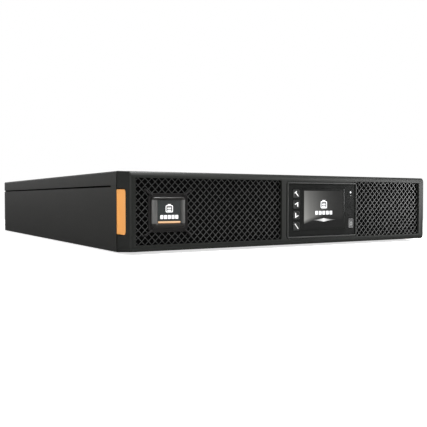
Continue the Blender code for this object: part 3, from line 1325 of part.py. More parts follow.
def make_ports():
    """A block with two network ports and a square data port."""
    face_y = PANEL_OUT_Y + GAP + PORTS_PROUD
    made = build("port_block", zinc_steel(), block(
        (PORTS_X - PORTS_HALF, face_y - PORTS_DEPTH, PORTS_Z - PORTS_TALL),
        (PORTS_X + PORTS_HALF, face_y, PORTS_Z + PORTS_TALL)))
    half = PORT_CELL_HEIGHT / 2
    for left, right, depth in PORT_CELLS:
        cut(made, block((PORTS_X + left, face_y - depth, PORTS_Z - half),
                        (PORTS_X + right, face_y + CUT_REACH, PORTS_Z + half)))


def make_ground_stud():
    """A threaded stud through the panel, with a nut outside."""
    root_y, tip_y = PANEL_IN_Y - STUD_INNER, CASE_REAR_Y + REAR_PROUD
    made = build("ground_stud", brass(),
                 rod((STUD_X, root_y, STUD_Z), (0, 1, 0), STUD_RADIUS, tip_y - root_y, 12))
    radius, height = STUD_NUT
    join(made, rod((STUD_X, PANEL_OUT_Y + GAP, STUD_Z), (0, 1, 0), radius, height, 6))


def main():
    start()
    make_base_tray()
    make_top_cover()
    make_rear_panel()
    make_front_bulkhead()
    make_bay_divider()
    make_bezel_frame()
    make_grilles()
    make_grip("grip_left", -1)
    make_grip("grip_right", 1)
    make_badge()
    make_display()
    make_keys()
    make_battery_pack()
    make_electronics()
    for side, x in zip(("left", "right"), FAN_X):
        make_fan(side, x)
    for name, z in zip(("outlet_bank_lower", "outlet_bank_upper"), OUTLET_ROWS_Z):
        make_outlet_bank(name, z)
    make_large_sockets()
    make_breaker()
    make_external_socket()
    make_card_slot()
    make_ports()
    make_ground_stud()


main()
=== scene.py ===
import math
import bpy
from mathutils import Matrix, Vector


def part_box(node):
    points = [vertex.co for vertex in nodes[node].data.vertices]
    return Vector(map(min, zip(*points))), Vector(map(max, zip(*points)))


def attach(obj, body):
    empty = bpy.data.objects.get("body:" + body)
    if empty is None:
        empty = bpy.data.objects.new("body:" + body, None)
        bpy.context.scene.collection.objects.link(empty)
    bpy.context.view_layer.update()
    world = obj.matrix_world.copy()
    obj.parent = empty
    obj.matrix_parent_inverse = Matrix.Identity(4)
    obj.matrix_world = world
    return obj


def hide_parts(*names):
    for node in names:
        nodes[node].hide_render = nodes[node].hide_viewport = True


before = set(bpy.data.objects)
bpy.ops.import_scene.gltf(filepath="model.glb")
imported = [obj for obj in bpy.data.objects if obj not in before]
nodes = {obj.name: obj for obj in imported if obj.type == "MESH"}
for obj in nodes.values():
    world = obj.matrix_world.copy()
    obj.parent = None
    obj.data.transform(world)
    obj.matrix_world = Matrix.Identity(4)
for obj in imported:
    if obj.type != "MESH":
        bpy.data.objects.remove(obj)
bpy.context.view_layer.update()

from types import SimpleNamespace

import bmesh
import bpy
import numpy as np


def spot(node):
    # a CAD node's box: its low and high corners, its centre and its size
    low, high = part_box(node)
    return SimpleNamespace(low=low, high=high, centre=(low + high) / 2, size=high - low)


frontY = spot("bezel_frame").low.y               # the front plane
caseFrontY, caseRearY = spot("base_tray").low.y, spot("base_tray").high.y
panelY = spot("rear_panel").high.y               # the rear panel's outer face
halfWidth, caseTop = spot("base_tray").high.x, spot("top_cover").high.z
print("frame loaded,", len(nodes), "nodes")


class Field:
    # a number that varies over a surface: Python's operators add the Math nodes
    def __init__(self, recipe, socket):
        self.recipe, self.socket = recipe, socket

    def math(self, operation, first, second):
        return self.recipe.math(operation, first, second)

    def __add__(self, other): return self.math("ADD", self, other)
    def __radd__(self, other): return self.math("ADD", other, self)
    def __sub__(self, other): return self.math("SUBTRACT", self, other)
    def __rsub__(self, other): return self.math("SUBTRACT", other, self)
    def __mul__(self, other): return self.math("MULTIPLY", self, other)
    def __rmul__(self, other): return self.math("MULTIPLY", other, self)
    def __truediv__(self, other): return self.math("DIVIDE", self, other)
    def __rtruediv__(self, other): return self.math("DIVIDE", other, self)
    def __pow__(self, other): return self.math("POWER", self, other)
    def __abs__(self): return self.math("ABSOLUTE", self, 0.0)
    def __gt__(self, other): return self.math("GREATER_THAN", self, other)
    def __lt__(self, other): return self.math("LESS_THAN", self, other)

    def clamp(self):
        return self.math("MINIMUM", self.math("MAXIMUM", self, 0.0), 1.0)


class Recipe:
    # one material: its shader, and one method that adds any node
    def __init__(self, name, rough, metallic=0.0, **uniform):
        self.material = bpy.data.materials.new(name)
        self.material.use_nodes = True
        self.tree = self.material.node_tree
        self.shader = self.tree.nodes["Principled BSDF"]
        self.shader.inputs["Roughness"].default_value = rough
        self.shader.inputs["Metallic"].default_value = metallic
        for socket, value in uniform.items():
            self.shader.inputs[socket.replace("_", " ")].default_value = value

    def node(self, kind, settings=None, sockets=None, out=0):
        made = self.tree.nodes.new(kind)
        for key, value in (settings or {}).items():
            if key == "stops":                   # a ramp's stops: (position, colour)
                ramp = made.color_ramp
                while len(ramp.elements) < len(value):
                    ramp.elements.new(0.5)
                for element, (position, colour) in zip(ramp.elements, value):
                    element.position, element.color = position, (*colour, 1.0)
            else:
                setattr(made, key, value)
        for key, value in (sockets or {}).items():
            if isinstance(value, Field):
                self.tree.links.new(value.socket, made.inputs[key])
            elif isinstance(value, tuple) and len(value) == 3 and made.inputs[key].type == "RGBA":
                made.inputs[key].default_value = (*value, 1.0)
            else:
                made.inputs[key].default_value = value
        return Field(self, made.outputs[out])

    def math(self, operation, first, second=0.0):
        return self.node("ShaderNodeMath", dict(operation=operation), {0: first, 1: second})

    def feed(self, **links):                     # fields into the shader's own sockets
        for socket, value in links.items():
            self.tree.links.new(value.socket, self.shader.inputs[socket.replace("_", " ")])
        return self.material

    def place(self, stretch=(1, 1, 1), shift=(0, 0, 0)):
        where = self.node("ShaderNodeTexCoord", out="Object")
        return self.node("ShaderNodeMapping", None, {"Vector": where, "Scale": stretch, "Location": shift})

    def axis(self, where, letter):
        return self.node("ShaderNodeSeparateXYZ", None, {0: where}, "XYZ".index(letter))

    def noise(self, where, scale, detail=3.0, rough=0.5):
        return self.node("ShaderNodeTexNoise", None,
                         {"Vector": where, "Scale": scale, "Detail": detail, "Roughness": rough})

    def blend(self, share, dark, light):         # a colour between two, by a field
        mix = dict(data_type="RGBA")
        return self.node("ShaderNodeMix", mix, {0: share, 6: dark, 7: light}, 2)

    def bump(self, height, strength, distance, normal=None):
        sockets = {"Height": height, "Strength": strength, "Distance": distance}
        if normal:
            sockets["Normal"] = normal
        return self.node("ShaderNodeBump", None, sockets)


def grainy(name, dark, light, rough, grainScale, grainDepth, metallic=0.0, patch=9.0, scuffs=0.12,
           mattBeyond=None, **uniform):
    # two nearby colours in broad patches, a fine grain in relief, and faint rubbed streaks. The faces
    # further out to a side than mattBeyond are rougher
    made = Recipe(name, rough, metallic, **uniform)
    where = made.place()
    broad = made.noise(where, patch, 4.0)
    grain = made.noise(where, grainScale, 2.0, 0.6)
    rubbed = made.noise(made.place((1, 0.18, 1)), 70.0, 5.0, 0.7)
    streak = ((rubbed - 0.60) * 6.0).clamp() * scuffs
    colour = made.blend((broad * 0.7 + grain * 0.3 + streak).clamp(), dark, light)
    roughness = (broad - 0.5) * 0.10 + (grain - 0.5) * 0.12 + rough - streak * 0.3
    if mattBeyond:
        roughness = roughness + (abs(made.axis(where, "X")) > mattBeyond) * 0.45
    return made.feed(Base_Color=colour, Roughness=roughness.clamp(),
                     Normal=made.bump(grain, 0.35, grainDepth))


def brushed(name, dark, light, rough, stretch, spangle=0.0):
    # metal with a drawn grain along one axis, and if wanted a crystal spangle as on zinc plate
    made = Recipe(name, rough, 1.0)
    lines = made.noise(made.place(stretch), 900.0, 3.0, 0.6)
    broad = made.noise(made.place(), 14.0, 4.0)
    tone = lines * 0.5 + broad * 0.5
    if spangle:
        crystals = made.node("ShaderNodeTexVoronoi", None, {"Vector": made.place(), "Scale": 260.0}, "Color")
        tone = tone * (1 - spangle) + made.node("ShaderNodeRGBToBW", None, {0: crystals}) * spangle
    return made.feed(Base_Color=made.blend(tone.clamp(), dark, light),
                     Roughness=((tone - 0.5) * 0.25 + rough).clamp(),
                     Normal=made.bump(lines, 0.12, 0.00004))


def glossy(name, dark, light, rough, **uniform):
    # polished plastic with faint smears and dust that only the roughness shows
    made = Recipe(name, rough, 0.0, **uniform)
    where = made.place()
    smear = made.noise(where, 45.0, 5.0, 0.65)
    dust = (made.noise(where, 1500.0, 1.0) - 0.66) * 8.0
    return made.feed(Base_Color=made.blend(dust.clamp() * 0.25 + smear * 0.2, dark, light),
                     Roughness=((smear - 0.45) * 0.16 + dust.clamp() * 0.2 + rough).clamp())


def solderMask():
    # green lacquer over copper tracks: tracks are bands of two crossed saw waves, kept where a noise allows
    made = Recipe("solderMask", 0.35)
    where = made.place()
    across, along = made.axis(where, "X"), made.axis(where, "Y")
    bands = [made.math("FRACT", coordinate * 260.0) for coordinate in (across, along)]
    choice = made.noise(where, 60.0, 1.0) > 0.5
    track = (bands[0] > 0.55) * choice + (bands[1] > 0.55) * (1 - choice)
    colour = made.blend(track * 0.6 + made.noise(where, 30.0) * 0.25,
                        (0.004, 0.035, 0.014), (0.012, 0.11, 0.04))
    return made.feed(Base_Color=colour, Normal=made.bump(track, 0.3, 0.00005))


def windings(name, dark, light):
    # enamelled wire wound round a ring: fine diagonal bands of a wave texture in the piece's own space
    made = Recipe(name, 0.3, 0.8)
    wave = made.node("ShaderNodeTexWave", dict(bands_direction="DIAGONAL"),
                     {"Vector": made.place(), "Scale": 330.0, "Distortion": 1.5, "Detail": 1.0})
    return made.feed(Base_Color=made.blend(wave, dark, light), Normal=made.bump(wave, 0.6, 0.0003))


finishes = dict(
    casePaint=grainy("casePaint", (0.016, 0.016, 0.015), (0.024, 0.024, 0.022), 0.50, 1100.0, 0.00006,
                     Specular_IOR_Level=0.28),
    bezelPlastic=grainy("bezelPlastic", (0.012, 0.013, 0.012), (0.018, 0.019, 0.017), 0.40, 1700.0, 0.00004,
                        mattBeyond=halfWidth - 0.0004, Specular_IOR_Level=0.22),
    rimPlastic=grainy("rimPlastic", (0.022, 0.023, 0.022), (0.034, 0.035, 0.033), 0.38, 1700.0, 0.00003,
                      Specular_IOR_Level=0.35),
    meshPlastic=grainy("meshPlastic", (0.030, 0.031, 0.030), (0.050, 0.051, 0.049), 0.32, 1700.0, 0.00003,
                       Specular_IOR_Level=0.50),
    padPlastic=grainy("padPlastic", (0.010, 0.009, 0.009), (0.015, 0.014, 0.014), 0.55, 1700.0, 0.00003,
                      Specular_IOR_Level=0.25),
    # near-black, for the painted shade behind the grilles
    shadeFoam=grainy("shadeFoam", (0.001, 0.001, 0.001), (0.004, 0.004, 0.004), 0.95, 800.0, 0.0004,
                      Specular_IOR_Level=0.05),
    orangePlastic=grainy("orangePlastic", (0.72, 0.30, 0.062), (0.82, 0.36, 0.084), 0.45, 1500.0, 0.00005,
                         scuffs=0.05),
    badgeStripe=grainy("badgeStripe", (0.60, 0.36, 0.19), (0.70, 0.44, 0.25), 0.35, 1500.0, 0.00002,
                       scuffs=0.0),
    # near-black, for the painted shadow in the cover's seam
    shadowBlack=grainy("shadowBlack", (0.0008, 0.0008, 0.0008), (0.002, 0.002, 0.002), 0.9, 900.0, 0.0001,
                    Specular_IOR_Level=0.05),
    glossBlack=glossy("glossBlack", (0.009, 0.0095, 0.009), (0.03, 0.03, 0.03), 0.13,
                      Specular_IOR_Level=0.25),
    badgeFace=glossy("badgeFace", (0.026, 0.030, 0.029), (0.05, 0.05, 0.05), 0.2, Specular_IOR_Level=0.3),
    keyPlastic=glossy("keyPlastic", (0.016, 0.0165, 0.016), (0.04, 0.04, 0.04), 0.28,
                      Specular_IOR_Level=0.30),
    socketPlastic=grainy("socketPlastic", (0.010, 0.010, 0.011), (0.018, 0.018, 0.019), 0.42, 1300.0,
                         0.00005),
    batteryCase=grainy("batteryCase", (0.030, 0.031, 0.034), (0.050, 0.051, 0.055), 0.48, 900.0, 0.00007),
    rubberRed=grainy("rubberRed", (0.34, 0.012, 0.008), (0.45, 0.02, 0.012), 0.45, 1200.0, 0.00003),
    rubberBlack=grainy("rubberBlack", (0.010, 0.010, 0.010), (0.02, 0.02, 0.02), 0.5, 1200.0, 0.00003),
    whitePrint=grainy("whitePrint", (0.78, 0.79, 0.78), (0.90, 0.90, 0.89), 0.5, 1500.0, 0.00001, scuffs=0.0),
    greyPrint=grainy("greyPrint", (0.24, 0.25, 0.25), (0.32, 0.33, 0.32), 0.5, 1500.0, 0.00001, scuffs=0.0),
    zincSteel=brushed("zincSteel", (0.34, 0.34, 0.35), (0.62, 0.62, 0.64), 0.36, (1, 0.05, 1), 0.35),
    wireSteel=brushed("wireSteel", (0.42, 0.42, 0.43), (0.66, 0.66, 0.67), 0.26, (1, 1, 1)),
    aluminium=brushed("aluminium", (0.50, 0.51, 0.53), (0.70, 0.71, 0.73), 0.38, (1, 0.03, 1)),
    brass=brushed("brass", (0.48, 0.33, 0.12), (0.70, 0.52, 0.24), 0.30, (1, 1, 0.1)),
    gold=brushed("gold", (0.75, 0.50, 0.16), (0.92, 0.68, 0.28), 0.24, (1, 0.1, 1)),
    copperWinding=windings("copperWinding", (0.20, 0.06, 0.02), (0.58, 0.24, 0.10)),
    solderMask=solderMask(),
    # brown painted shade under the badge's orange stripe
    orangePaintedShade=grainy("orangePaintedShade", (0.10, 0.045, 0.02), (0.15, 0.07, 0.03), 0.5, 1500.0, 0.00002,
                       scuffs=0.0),
    powerKey=grainy("powerKey", (0.045, 0.045, 0.045), (0.065, 0.065, 0.065), 0.35, 1500.0, 0.00003),
    rotorPlastic=grainy("rotorPlastic", (0.016, 0.016, 0.017), (0.030, 0.030, 0.032), 0.38, 1000.0, 0.00004),
    breakerPlastic=grainy("breakerPlastic", (0.05, 0.05, 0.052), (0.08, 0.08, 0.083), 0.35, 1400.0, 0.00003),
    whitePlastic=grainy("whitePlastic", (0.62, 0.62, 0.60), (0.74, 0.74, 0.72), 0.4, 1400.0, 0.00002),
    portLamp=grainy("portLamp", (0.10, 0.30, 0.08), (0.16, 0.42, 0.12), 0.25, 1200.0, 0.00002, scuffs=0.0),
    litWhite=grainy("litWhite", (0.30, 0.30, 0.30), (0.36, 0.36, 0.36), 0.4, 1500.0, 0.00001, scuffs=0.0,
                    Emission_Color=(0.95, 0.97, 1.0, 1.0), Emission_Strength=0.85),
)
print("finishes made")

facings = dict(                                  # across, up and out of each way a flat piece may face
    front=((1, 0, 0), (0, 0, 1), (0, -1, 0)),
    back=((-1, 0, 0), (0, 0, 1), (0, 1, 0)),
    right=((0, 1, 0), (0, 0, 1), (1, 0, 0)),
    top=((1, 0, 0), (0, 1, 0), (0, 0, 1)),
)


def placed(points, facing, origin):
    # (across, up, out) points to the frame's axes, from an origin
    return np.asarray(points, float) @ np.array(facings[facing], float) + np.asarray(origin, float)


def onNode(node, facing, y=None):
    # a facing, and an origin on a node's middle line: at the node's low y, or at the y given
    part = spot(node)
    return facing, (part.centre.x, part.low.y if y is None else y, part.centre.z)


def gridFaces(rows, columns, closeRows=False, closeColumns=True):
    # quads between neighbouring rows and columns of a grid, by index arithmetic
    lastRow, lastColumn = rows if closeRows else rows - 1, columns if closeColumns else columns - 1
    r, c = np.meshgrid(np.arange(lastRow), np.arange(lastColumn), indexing="ij")
    r, c = r.ravel(), c.ravel()
    r2, c2 = (r + 1) % rows, (c + 1) % columns
    return np.stack([r * columns + c, r * columns + c2, r2 * columns + c2, r2 * columns + c], 1)


def solid(name, grids, finish, body, sharp=34, at=None, node=None, caps=True, closeRows=False):
    # one piece from grids of points (rows, columns, 3), each closed round its columns and capped at its ends
    points, faces, start = [], [], 0
    for grid in grids:
        rows, columns = grid.shape[:2]
        points.append((placed(grid, *at) if at else grid).reshape(-1, 3))
        faces += (gridFaces(rows, columns, closeRows) + start).tolist()
        if caps:
            faces += [list(range(start, start + columns)),
                      list(range(start + (rows - 1) * columns, start + rows * columns))]
        start += rows * columns
    return fromArrays(name, np.concatenate(points), faces, finish, body, sharp, node)


def fromArrays(name, points, faces, finish, body, sharp=34, node=None):
    mesh = bpy.data.meshes.new(name)
    mesh.from_pydata(points.tolist(), [], faces)
    made = bpy.data.objects.new(name, mesh)
    bpy.context.scene.collection.objects.link(made)
    return finished(made, finish, body, sharp, node)


def finished(made, finish, body, sharp=34, node=None):
    # doubles merged, faces turned outwards, smooth but for sharp edges, finish on, riding on its body,
    # and taking the place of its CAD node
    work = bmesh.new()
    work.from_mesh(made.data)
    bmesh.ops.remove_doubles(work, verts=work.verts, dist=1e-7)
    bmesh.ops.recalc_face_normals(work, faces=work.faces)
    work.to_mesh(made.data)
    work.free()
    made.data.shade_smooth()
    made.data.set_sharp_from_angle(angle=math.radians(sharp))
    made.data.materials.clear()
    made.data.materials.append(finishes[finish])
    if body:
        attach(made, body)
    if node:
        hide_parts(node)
    return made


def roundRect(width, height, radius, arc=6):
    # a rectangle's outline with quarter-circle corners, anticlockwise
    radius = max(min(radius, width / 2 - 1e-6, height / 2 - 1e-6), 1e-6)
    turn = np.linspace(0, math.pi / 2, arc + 1)
    corners = [(width / 2 - radius, height / 2 - radius, 0), (radius - width / 2, height / 2 - radius, 1),
               (radius - width / 2, radius - height / 2, 2), (width / 2 - radius, radius - height / 2, 3)]
    return np.concatenate([np.stack([x + radius * np.cos(turn + q * math.pi / 2),
                                     y + radius * np.sin(turn + q * math.pi / 2)], 1) for x, y, q in corners])


def circle(radius, sides=48):
    turn = np.linspace(0, 2 * math.pi, sides, endpoint=False)
    return np.stack([radius * np.cos(turn), radius * np.sin(turn)], 1)


def levels(outlines, outs):
    # outlines (across, up) stacked at their distances out
    return np.stack([np.column_stack([line, np.full(len(line), out)]) for line, out in zip(outlines, outs)])


def stackedBy(outlineAt, profile):
    # the outlines that a profile of (offset, out) points asks for, stacked at their distances
    return levels([outlineAt(offset) for offset, out in profile], [out for offset, out in profile])


def slab(line, near, far):
    # one outline drawn straight out between two distances
    return levels([line, line], [near, far])


def button(name, spec, at, finish, body, sharp=50, node=None):
    # a round-cornered block with a quarter-round front edge, and a face dished by a parabola:
    # rings of the outline shrink towards the middle, and out = -dish * (1 - share squared)
    width, height, corner, edge = spec["width"], spec["height"], spec["corner"], spec["edge"]
    turn = np.linspace(0, math.pi / 2, 5)
    insets = [0.0, *(edge * (1 - np.cos(turn)))]
    outs = [spec["back"], *(edge * np.sin(turn) - edge)]
    outlines = [roundRect(width - 2 * i, height - 2 * i, corner - i * 0.8) for i in insets]
    inner = outlines[-1]
    for share in (0.985, 0.8, 0.6, 0.4, 0.2, 0.03):
        outlines.append(inner * share)
        outs.append(-spec.get("dish", 0.0) * (1 - share ** 2))
    return solid(name, [levels(outlines, outs)], finish, body, sharp, at, node)


def hoop(name, outlineAt, profile, at, finish, body):
    # a closed profile of (offset, out) points carried round an outline: a grid closed both ways
    return solid(name, [stackedBy(outlineAt, profile)], finish, body, at=at, caps=False, closeRows=True)


def tubeGrid(path, radius, sides=12):
    # a circle carried along a path, turned square to it at each point
    path = np.asarray(path, float)
    along = np.gradient(path, axis=0)
    along /= np.linalg.norm(along, axis=1, keepdims=True)
    helper = np.where(np.abs(along[:, 2:3]) > 0.9, [[1.0, 0, 0]], [[0, 0, 1.0]])
    side = np.cross(along, helper)
    side /= np.linalg.norm(side, axis=1, keepdims=True)
    up = np.cross(side, along)
    ring = circle(radius, sides)
    return path[:, None] + side[:, None] * ring[None, :, :1] + up[:, None] * ring[None, :, 1:]


def lathe(profile, sides=36):
    # a profile of (radius, out) points turned about the out direction
    return stackedBy(lambda radius: circle(radius, sides), profile)


def carve(made, cutters):
    # exact Boolean differences, applied, and the cutters removed
    for tool in cutters:
        change = made.modifiers.new("cut", "BOOLEAN")
        change.operation, change.object = "DIFFERENCE", tool
    bpy.context.view_layer.update()
    result = bpy.data.meshes.new_from_object(made.evaluated_get(bpy.context.evaluated_depsgraph_get()))
    made.modifiers.clear()
    made.data = result
    for tool in cutters:
        bpy.data.objects.remove(tool)


def softEdges(made, width):
    # two-step bevels along the edges sharper than 30 degrees
    change = made.modifiers.new("softEdges", "BEVEL")
    change.width, change.segments = width, 2
    change.limit_method, change.angle_limit = "ANGLE", math.radians(30)
    change.harden_normals = True


def cutter(grid, at=None):
    return solid("cutter", [grid], "socketPlastic", None, at=at)


def blockGrid(low, high):
    # the eight corners of a box as two closed rings, front and back
    (x0, y0, z0), (x1, y1, z1) = low, high
    ring = np.array([(x0, z0), (x1, z0), (x1, z1), (x0, z1)])
    return np.stack([np.column_stack([ring[:, 0], np.full(4, y), ring[:, 1]]) for y in (y0, y1)])


camera = dict(lens=51.36, sensor=36.0, back=0.5591, left=0.4551, height=0.0560, pitch=-1.392, yaw=-31.076)
studio = dict(worldLight=0.12, worldSeen=1.0, floorHalf=0.85, floorDrop=0.0006, floorGlow=0.70, floorSteps=9)
lights = [                                       # name, place, target, width, height, power
    ("keyAbove", (-0.7, -0.9, 1.9), (-0.1, -0.2, 0.05), 1.4, 0.8, 16.0),
    ("bevelGlow", (0.12, -0.42, 1.25), (-0.12, -0.28, 0.08), 0.45, 0.35, 19.0),
    ("sideSoft", (-0.60, 1.55, 0.38), (-0.2, 0.1, 0.05), 0.6, 0.4, 1.7),
    ("cornerGlow", (-1.20, -0.80, 0.24), (-0.215, -0.28, 0.05), 0.3, 0.4, 2.6),
    ("rightFill", (1.3, -1.0, 0.8), (0.1, -0.25, 0.04), 0.6, 0.6, 9.0),
    ("rightLow", (1.35, -1.10, 0.16), (0.20, -0.28, 0.04), 0.4, 0.3, 7.0),
    ("rearSoft", (0.6, 1.8, 1.1), (0.0, 0.2, 0.05), 1.2, 0.8, 14.0),
]


def makeCamera():
    spec, data = camera, bpy.data.cameras.new("camera")
    data.lens, data.sensor_width = spec["lens"], spec["sensor"]
    data.clip_start, data.clip_end = 0.01, 50.0
    made = bpy.data.objects.new("camera", data)
    made.location = (-spec["left"], frontY - spec["back"], spec["height"])
    made.rotation_euler = (math.radians(90 + spec["pitch"]), 0.0, math.radians(spec["yaw"]))
    bpy.context.scene.collection.objects.link(made)
    bpy.context.scene.camera = made


def makeLights():
    for name, place, target, width, height, power in lights:
        data = bpy.data.lights.new(name, "AREA")
        data.shape, data.size, data.size_y, data.energy = "RECTANGLE", width, height, power
        made = bpy.data.objects.new(name, data)
        made.location = place
        aim = np.array(target) - np.array(place)
        made.rotation_euler = Vector(aim).to_track_quat("-Z", "Y").to_euler()
        bpy.context.scene.collection.objects.link(made)


def makeWorld():
    # white to the camera, and a faint even light to everything else
    world = bpy.data.worlds.new("studio")
    world.use_nodes = True
    tree = world.node_tree
    seen = tree.nodes.new("ShaderNodeLightPath")
    level = tree.nodes.new("ShaderNodeMapRange")
    level.inputs["To Min"].default_value = studio["worldLight"]
    level.inputs["To Max"].default_value = studio["worldSeen"]
    tree.links.new(seen.outputs["Is Camera Ray"], level.inputs["Value"])
    tree.links.new(level.outputs["Result"], tree.nodes["Background"].inputs["Strength"])
    tree.nodes["Background"].inputs["Color"].default_value = (1, 1, 1, 1)
    bpy.context.scene.world = world
    bpy.context.scene.view_settings.view_transform = "Standard"


def makeFloor():
    spec = studio
    made = Recipe("studioFloor", 0.9, Emission_Color=(1, 1, 1, 1), Emission_Strength=spec["floorGlow"])
    drift = made.noise(made.place(), 2.0)
    finishes["studioFloor"] = made.feed(Base_Color=made.blend(drift, (0.90, 0.90, 0.90), (0.92, 0.92, 0.92)))
    steps = spec["floorSteps"]
    across = np.linspace(-spec["floorHalf"], spec["floorHalf"], steps)
    x, y = np.meshgrid(across, across, indexing="ij")
    grid = np.stack([x, y, np.full_like(x, -spec["floorDrop"])], 2)
    faces = gridFaces(steps, steps, closeColumns=False).tolist()
    floor = fromArrays("studioFloor", grid.reshape(-1, 3), faces, "studioFloor", None)
    if floor.data.polygons[0].normal.z < 0:
        floor.data.flip_normals()
    floor.visible_glossy = False                 # the studio's floor isn't mirrored in the polished parts


makeCamera()
makeLights()
makeWorld()
makeFloor()
print("camera, light and floor set")


bezel = dict(rimHeight=0.0005, topTaper=0.0015, bottomTaper=0.0020, topBevel=0.0045, bottomBevel=0.0030,
             bevelDepth=0.0030, ease=0.00035, joint=0.0025, jointDepth=0.0016, jointCorner=0.0018,
             sideBevel=0.0018, corner=0.0024, wall=0.0024, frontWall=0.0034, windowCorner=0.0008,
             displayCorner=0.0012, edge=0.00025, rimWidth=0.0018, grooveWidth=0.0011, grooveDepth=0.0014)
grilleOverlap = 0.0024                           # how far the CAD grille reaches behind the frame
displayRoom = 0.0005                             # the clearance round the display


def opening(node, inset):
    # the opening round or in front of a node, as (left, right, bottom, top)
    part = spot(node)
    return part.low.x + inset, part.high.x - inset, part.low.z + inset, part.high.z - inset


leftOpening, rightOpening = opening("grille_left", grilleOverlap), opening("grille_right", grilleOverlap)


def bezelRing(side, low, high, corner, y):
    line = roundRect(2 * (halfWidth - side), high - low, corner, 8)
    return np.column_stack([line[:, 0], np.full(len(line), y), line[:, 1] + (low + high) / 2])


def makeBezel():
    # an outer loft from the case's outline to a slightly smaller front, with a slightly round bevel,
    # hollowed from behind and cut through for the grilles, the display and the side grips
    spec, part = bezel, spot("bezel_frame")
    low, high, backY, faceY = part.low.z, part.high.z, part.high.y, frontY + spec["rimHeight"]
    tapered = (low + spec["bottomTaper"], high - spec["topTaper"])
    joint, jointY = spec["jointDepth"], backY - spec["joint"]       # a rebate for the shadow line at the case
    rings = [bezelRing(side, low + side, high - side, spec["jointCorner"], y)
             for side, y in ((joint, backY), (joint, jointY), (0.0, jointY))]
    for share in (0.0, 0.12, 0.45, 0.85, 1.0):
        bulge = spec["ease"] * math.sin(math.pi * share)
        rings.append(bezelRing(spec["sideBevel"] * share ** 1.3 - bulge,
                               tapered[0] + spec["bottomBevel"] * share ** 1.15 - bulge,
                               tapered[1] - spec["topBevel"] * share ** 1.15 + bulge,
                               spec["corner"], faceY + spec["bevelDepth"] * (1 - share)))
    outer = solid("bezelShell", [np.stack(rings)], "bezelPlastic", None)
    wall = spec["wall"]
    cuts = [cutter(blockGrid((-halfWidth + wall, frontY + spec["frontWall"], tapered[0] + wall),
                             (halfWidth - wall, backY + 0.01, tapered[1] - wall)))]
    cuts += [windowCutter(window, spec["windowCorner"]) for window in (leftOpening, rightOpening)]
    cuts += [windowCutter(opening("display_housing", -displayRoom), spec["displayCorner"]),
             gripCutter("grip_left", -1), gripCutter("grip_right", 1), grooveCutter()]
    carve(outer, cuts)
    softEdges(finished(outer, "bezelPlastic", "bezel", node="bezel_frame"), spec["edge"])
    makeRim()


def windowCutter(window, corner):
    left, right, bottom, top = window
    return cutter(slab(roundRect(right - left, top - bottom, corner, 4), 0.004, -0.008),
                  ("front", ((left + right) / 2, frontY, (bottom + top) / 2)))


def gripCutter(name, sign):
    # the notch round a side grip: round corners in front, open towards the case
    part, spec, room = spot(name), grip, grip["room"]
    front = part.low.y + spec["lip"] - room
    bottom, top = part.low.z + spec["lip"] - room, part.high.z - spec["lip"] + room
    length = spec["notch"]
    line = roundRect(length, top - bottom, spec["corner"] + room, 8) + (front + length / 2, 0)
    rings = [np.column_stack([np.full(len(line), sign * (halfWidth + x)), line[:, 0],
                              line[:, 1] + (bottom + top) / 2]) for x in (-0.006, 0.004)]
    return cutter(np.stack(rings))


def rimOutline(offset):
    # the display's outline, grown by its clearance and an offset
    size, grown = spot("display_housing").size, 2 * (displayRoom + offset)
    return roundRect(size.x + grown, size.z + grown, 0.0010 + offset, 5)


def grooveCutter():
    # a shadow gap round the display's rim
    spec = bezel
    top, bottom = 0.001 - spec["rimHeight"], -spec["rimHeight"] - spec["grooveDepth"]
    inner, outer = spec["rimWidth"], spec["rimWidth"] + spec["grooveWidth"]
    return hoop("cutter", rimOutline, [(inner, top), (outer, top), (outer, bottom), (inner, bottom)],
                onNode("display_housing", "front", frontY), "bezelPlastic", None)


def makeRim():
    # the display's rim: its section is a low rounded step, a superellipse that stands on the bezel's face
    half, height, sink = bezel["rimWidth"] / 2, bezel["rimHeight"], 0.0004
    profile = [(half - (half - 0.0001) * math.cos(t), -height + (height - 0.00005) * math.sin(t) ** 0.4)
               for t in np.linspace(0, math.pi, 11)]
    profile += [(2 * half - 0.0001, -height - sink), (0.0001, -height - sink)]
    hoop("displayRim", rimOutline, profile, onNode("display_housing", "front", frontY), "rimPlastic", "bezel")


lattice = dict(bands=18, bar=0.00070, thickness=0.0006, setback=0.0036, bevel=0.00014)
shadeSheet = dict(margin=0.0016, front=-0.0064, back=-0.0080, quilt=0.0002, waves=900)
badgeSeat = dict(width=0.0452, height=0.0400, lift=0.0009, corner=0.0045, overlap=0.002, rib=0.0011)
grip = dict(lip=0.0020, corner=0.0045, edge=0.0005, scoop=0.0008, depth=0.0024, toJoint=0.0002, sink=0.0003,
            room=0.0009, notch=0.08, plate=0.0018)
# the painted shadow strip in the cover's seam
seamShade = dict(low=0.0683, high=0.0701, start=0.0156, depth=0.0014, crown=0.0003, room=0.0001)


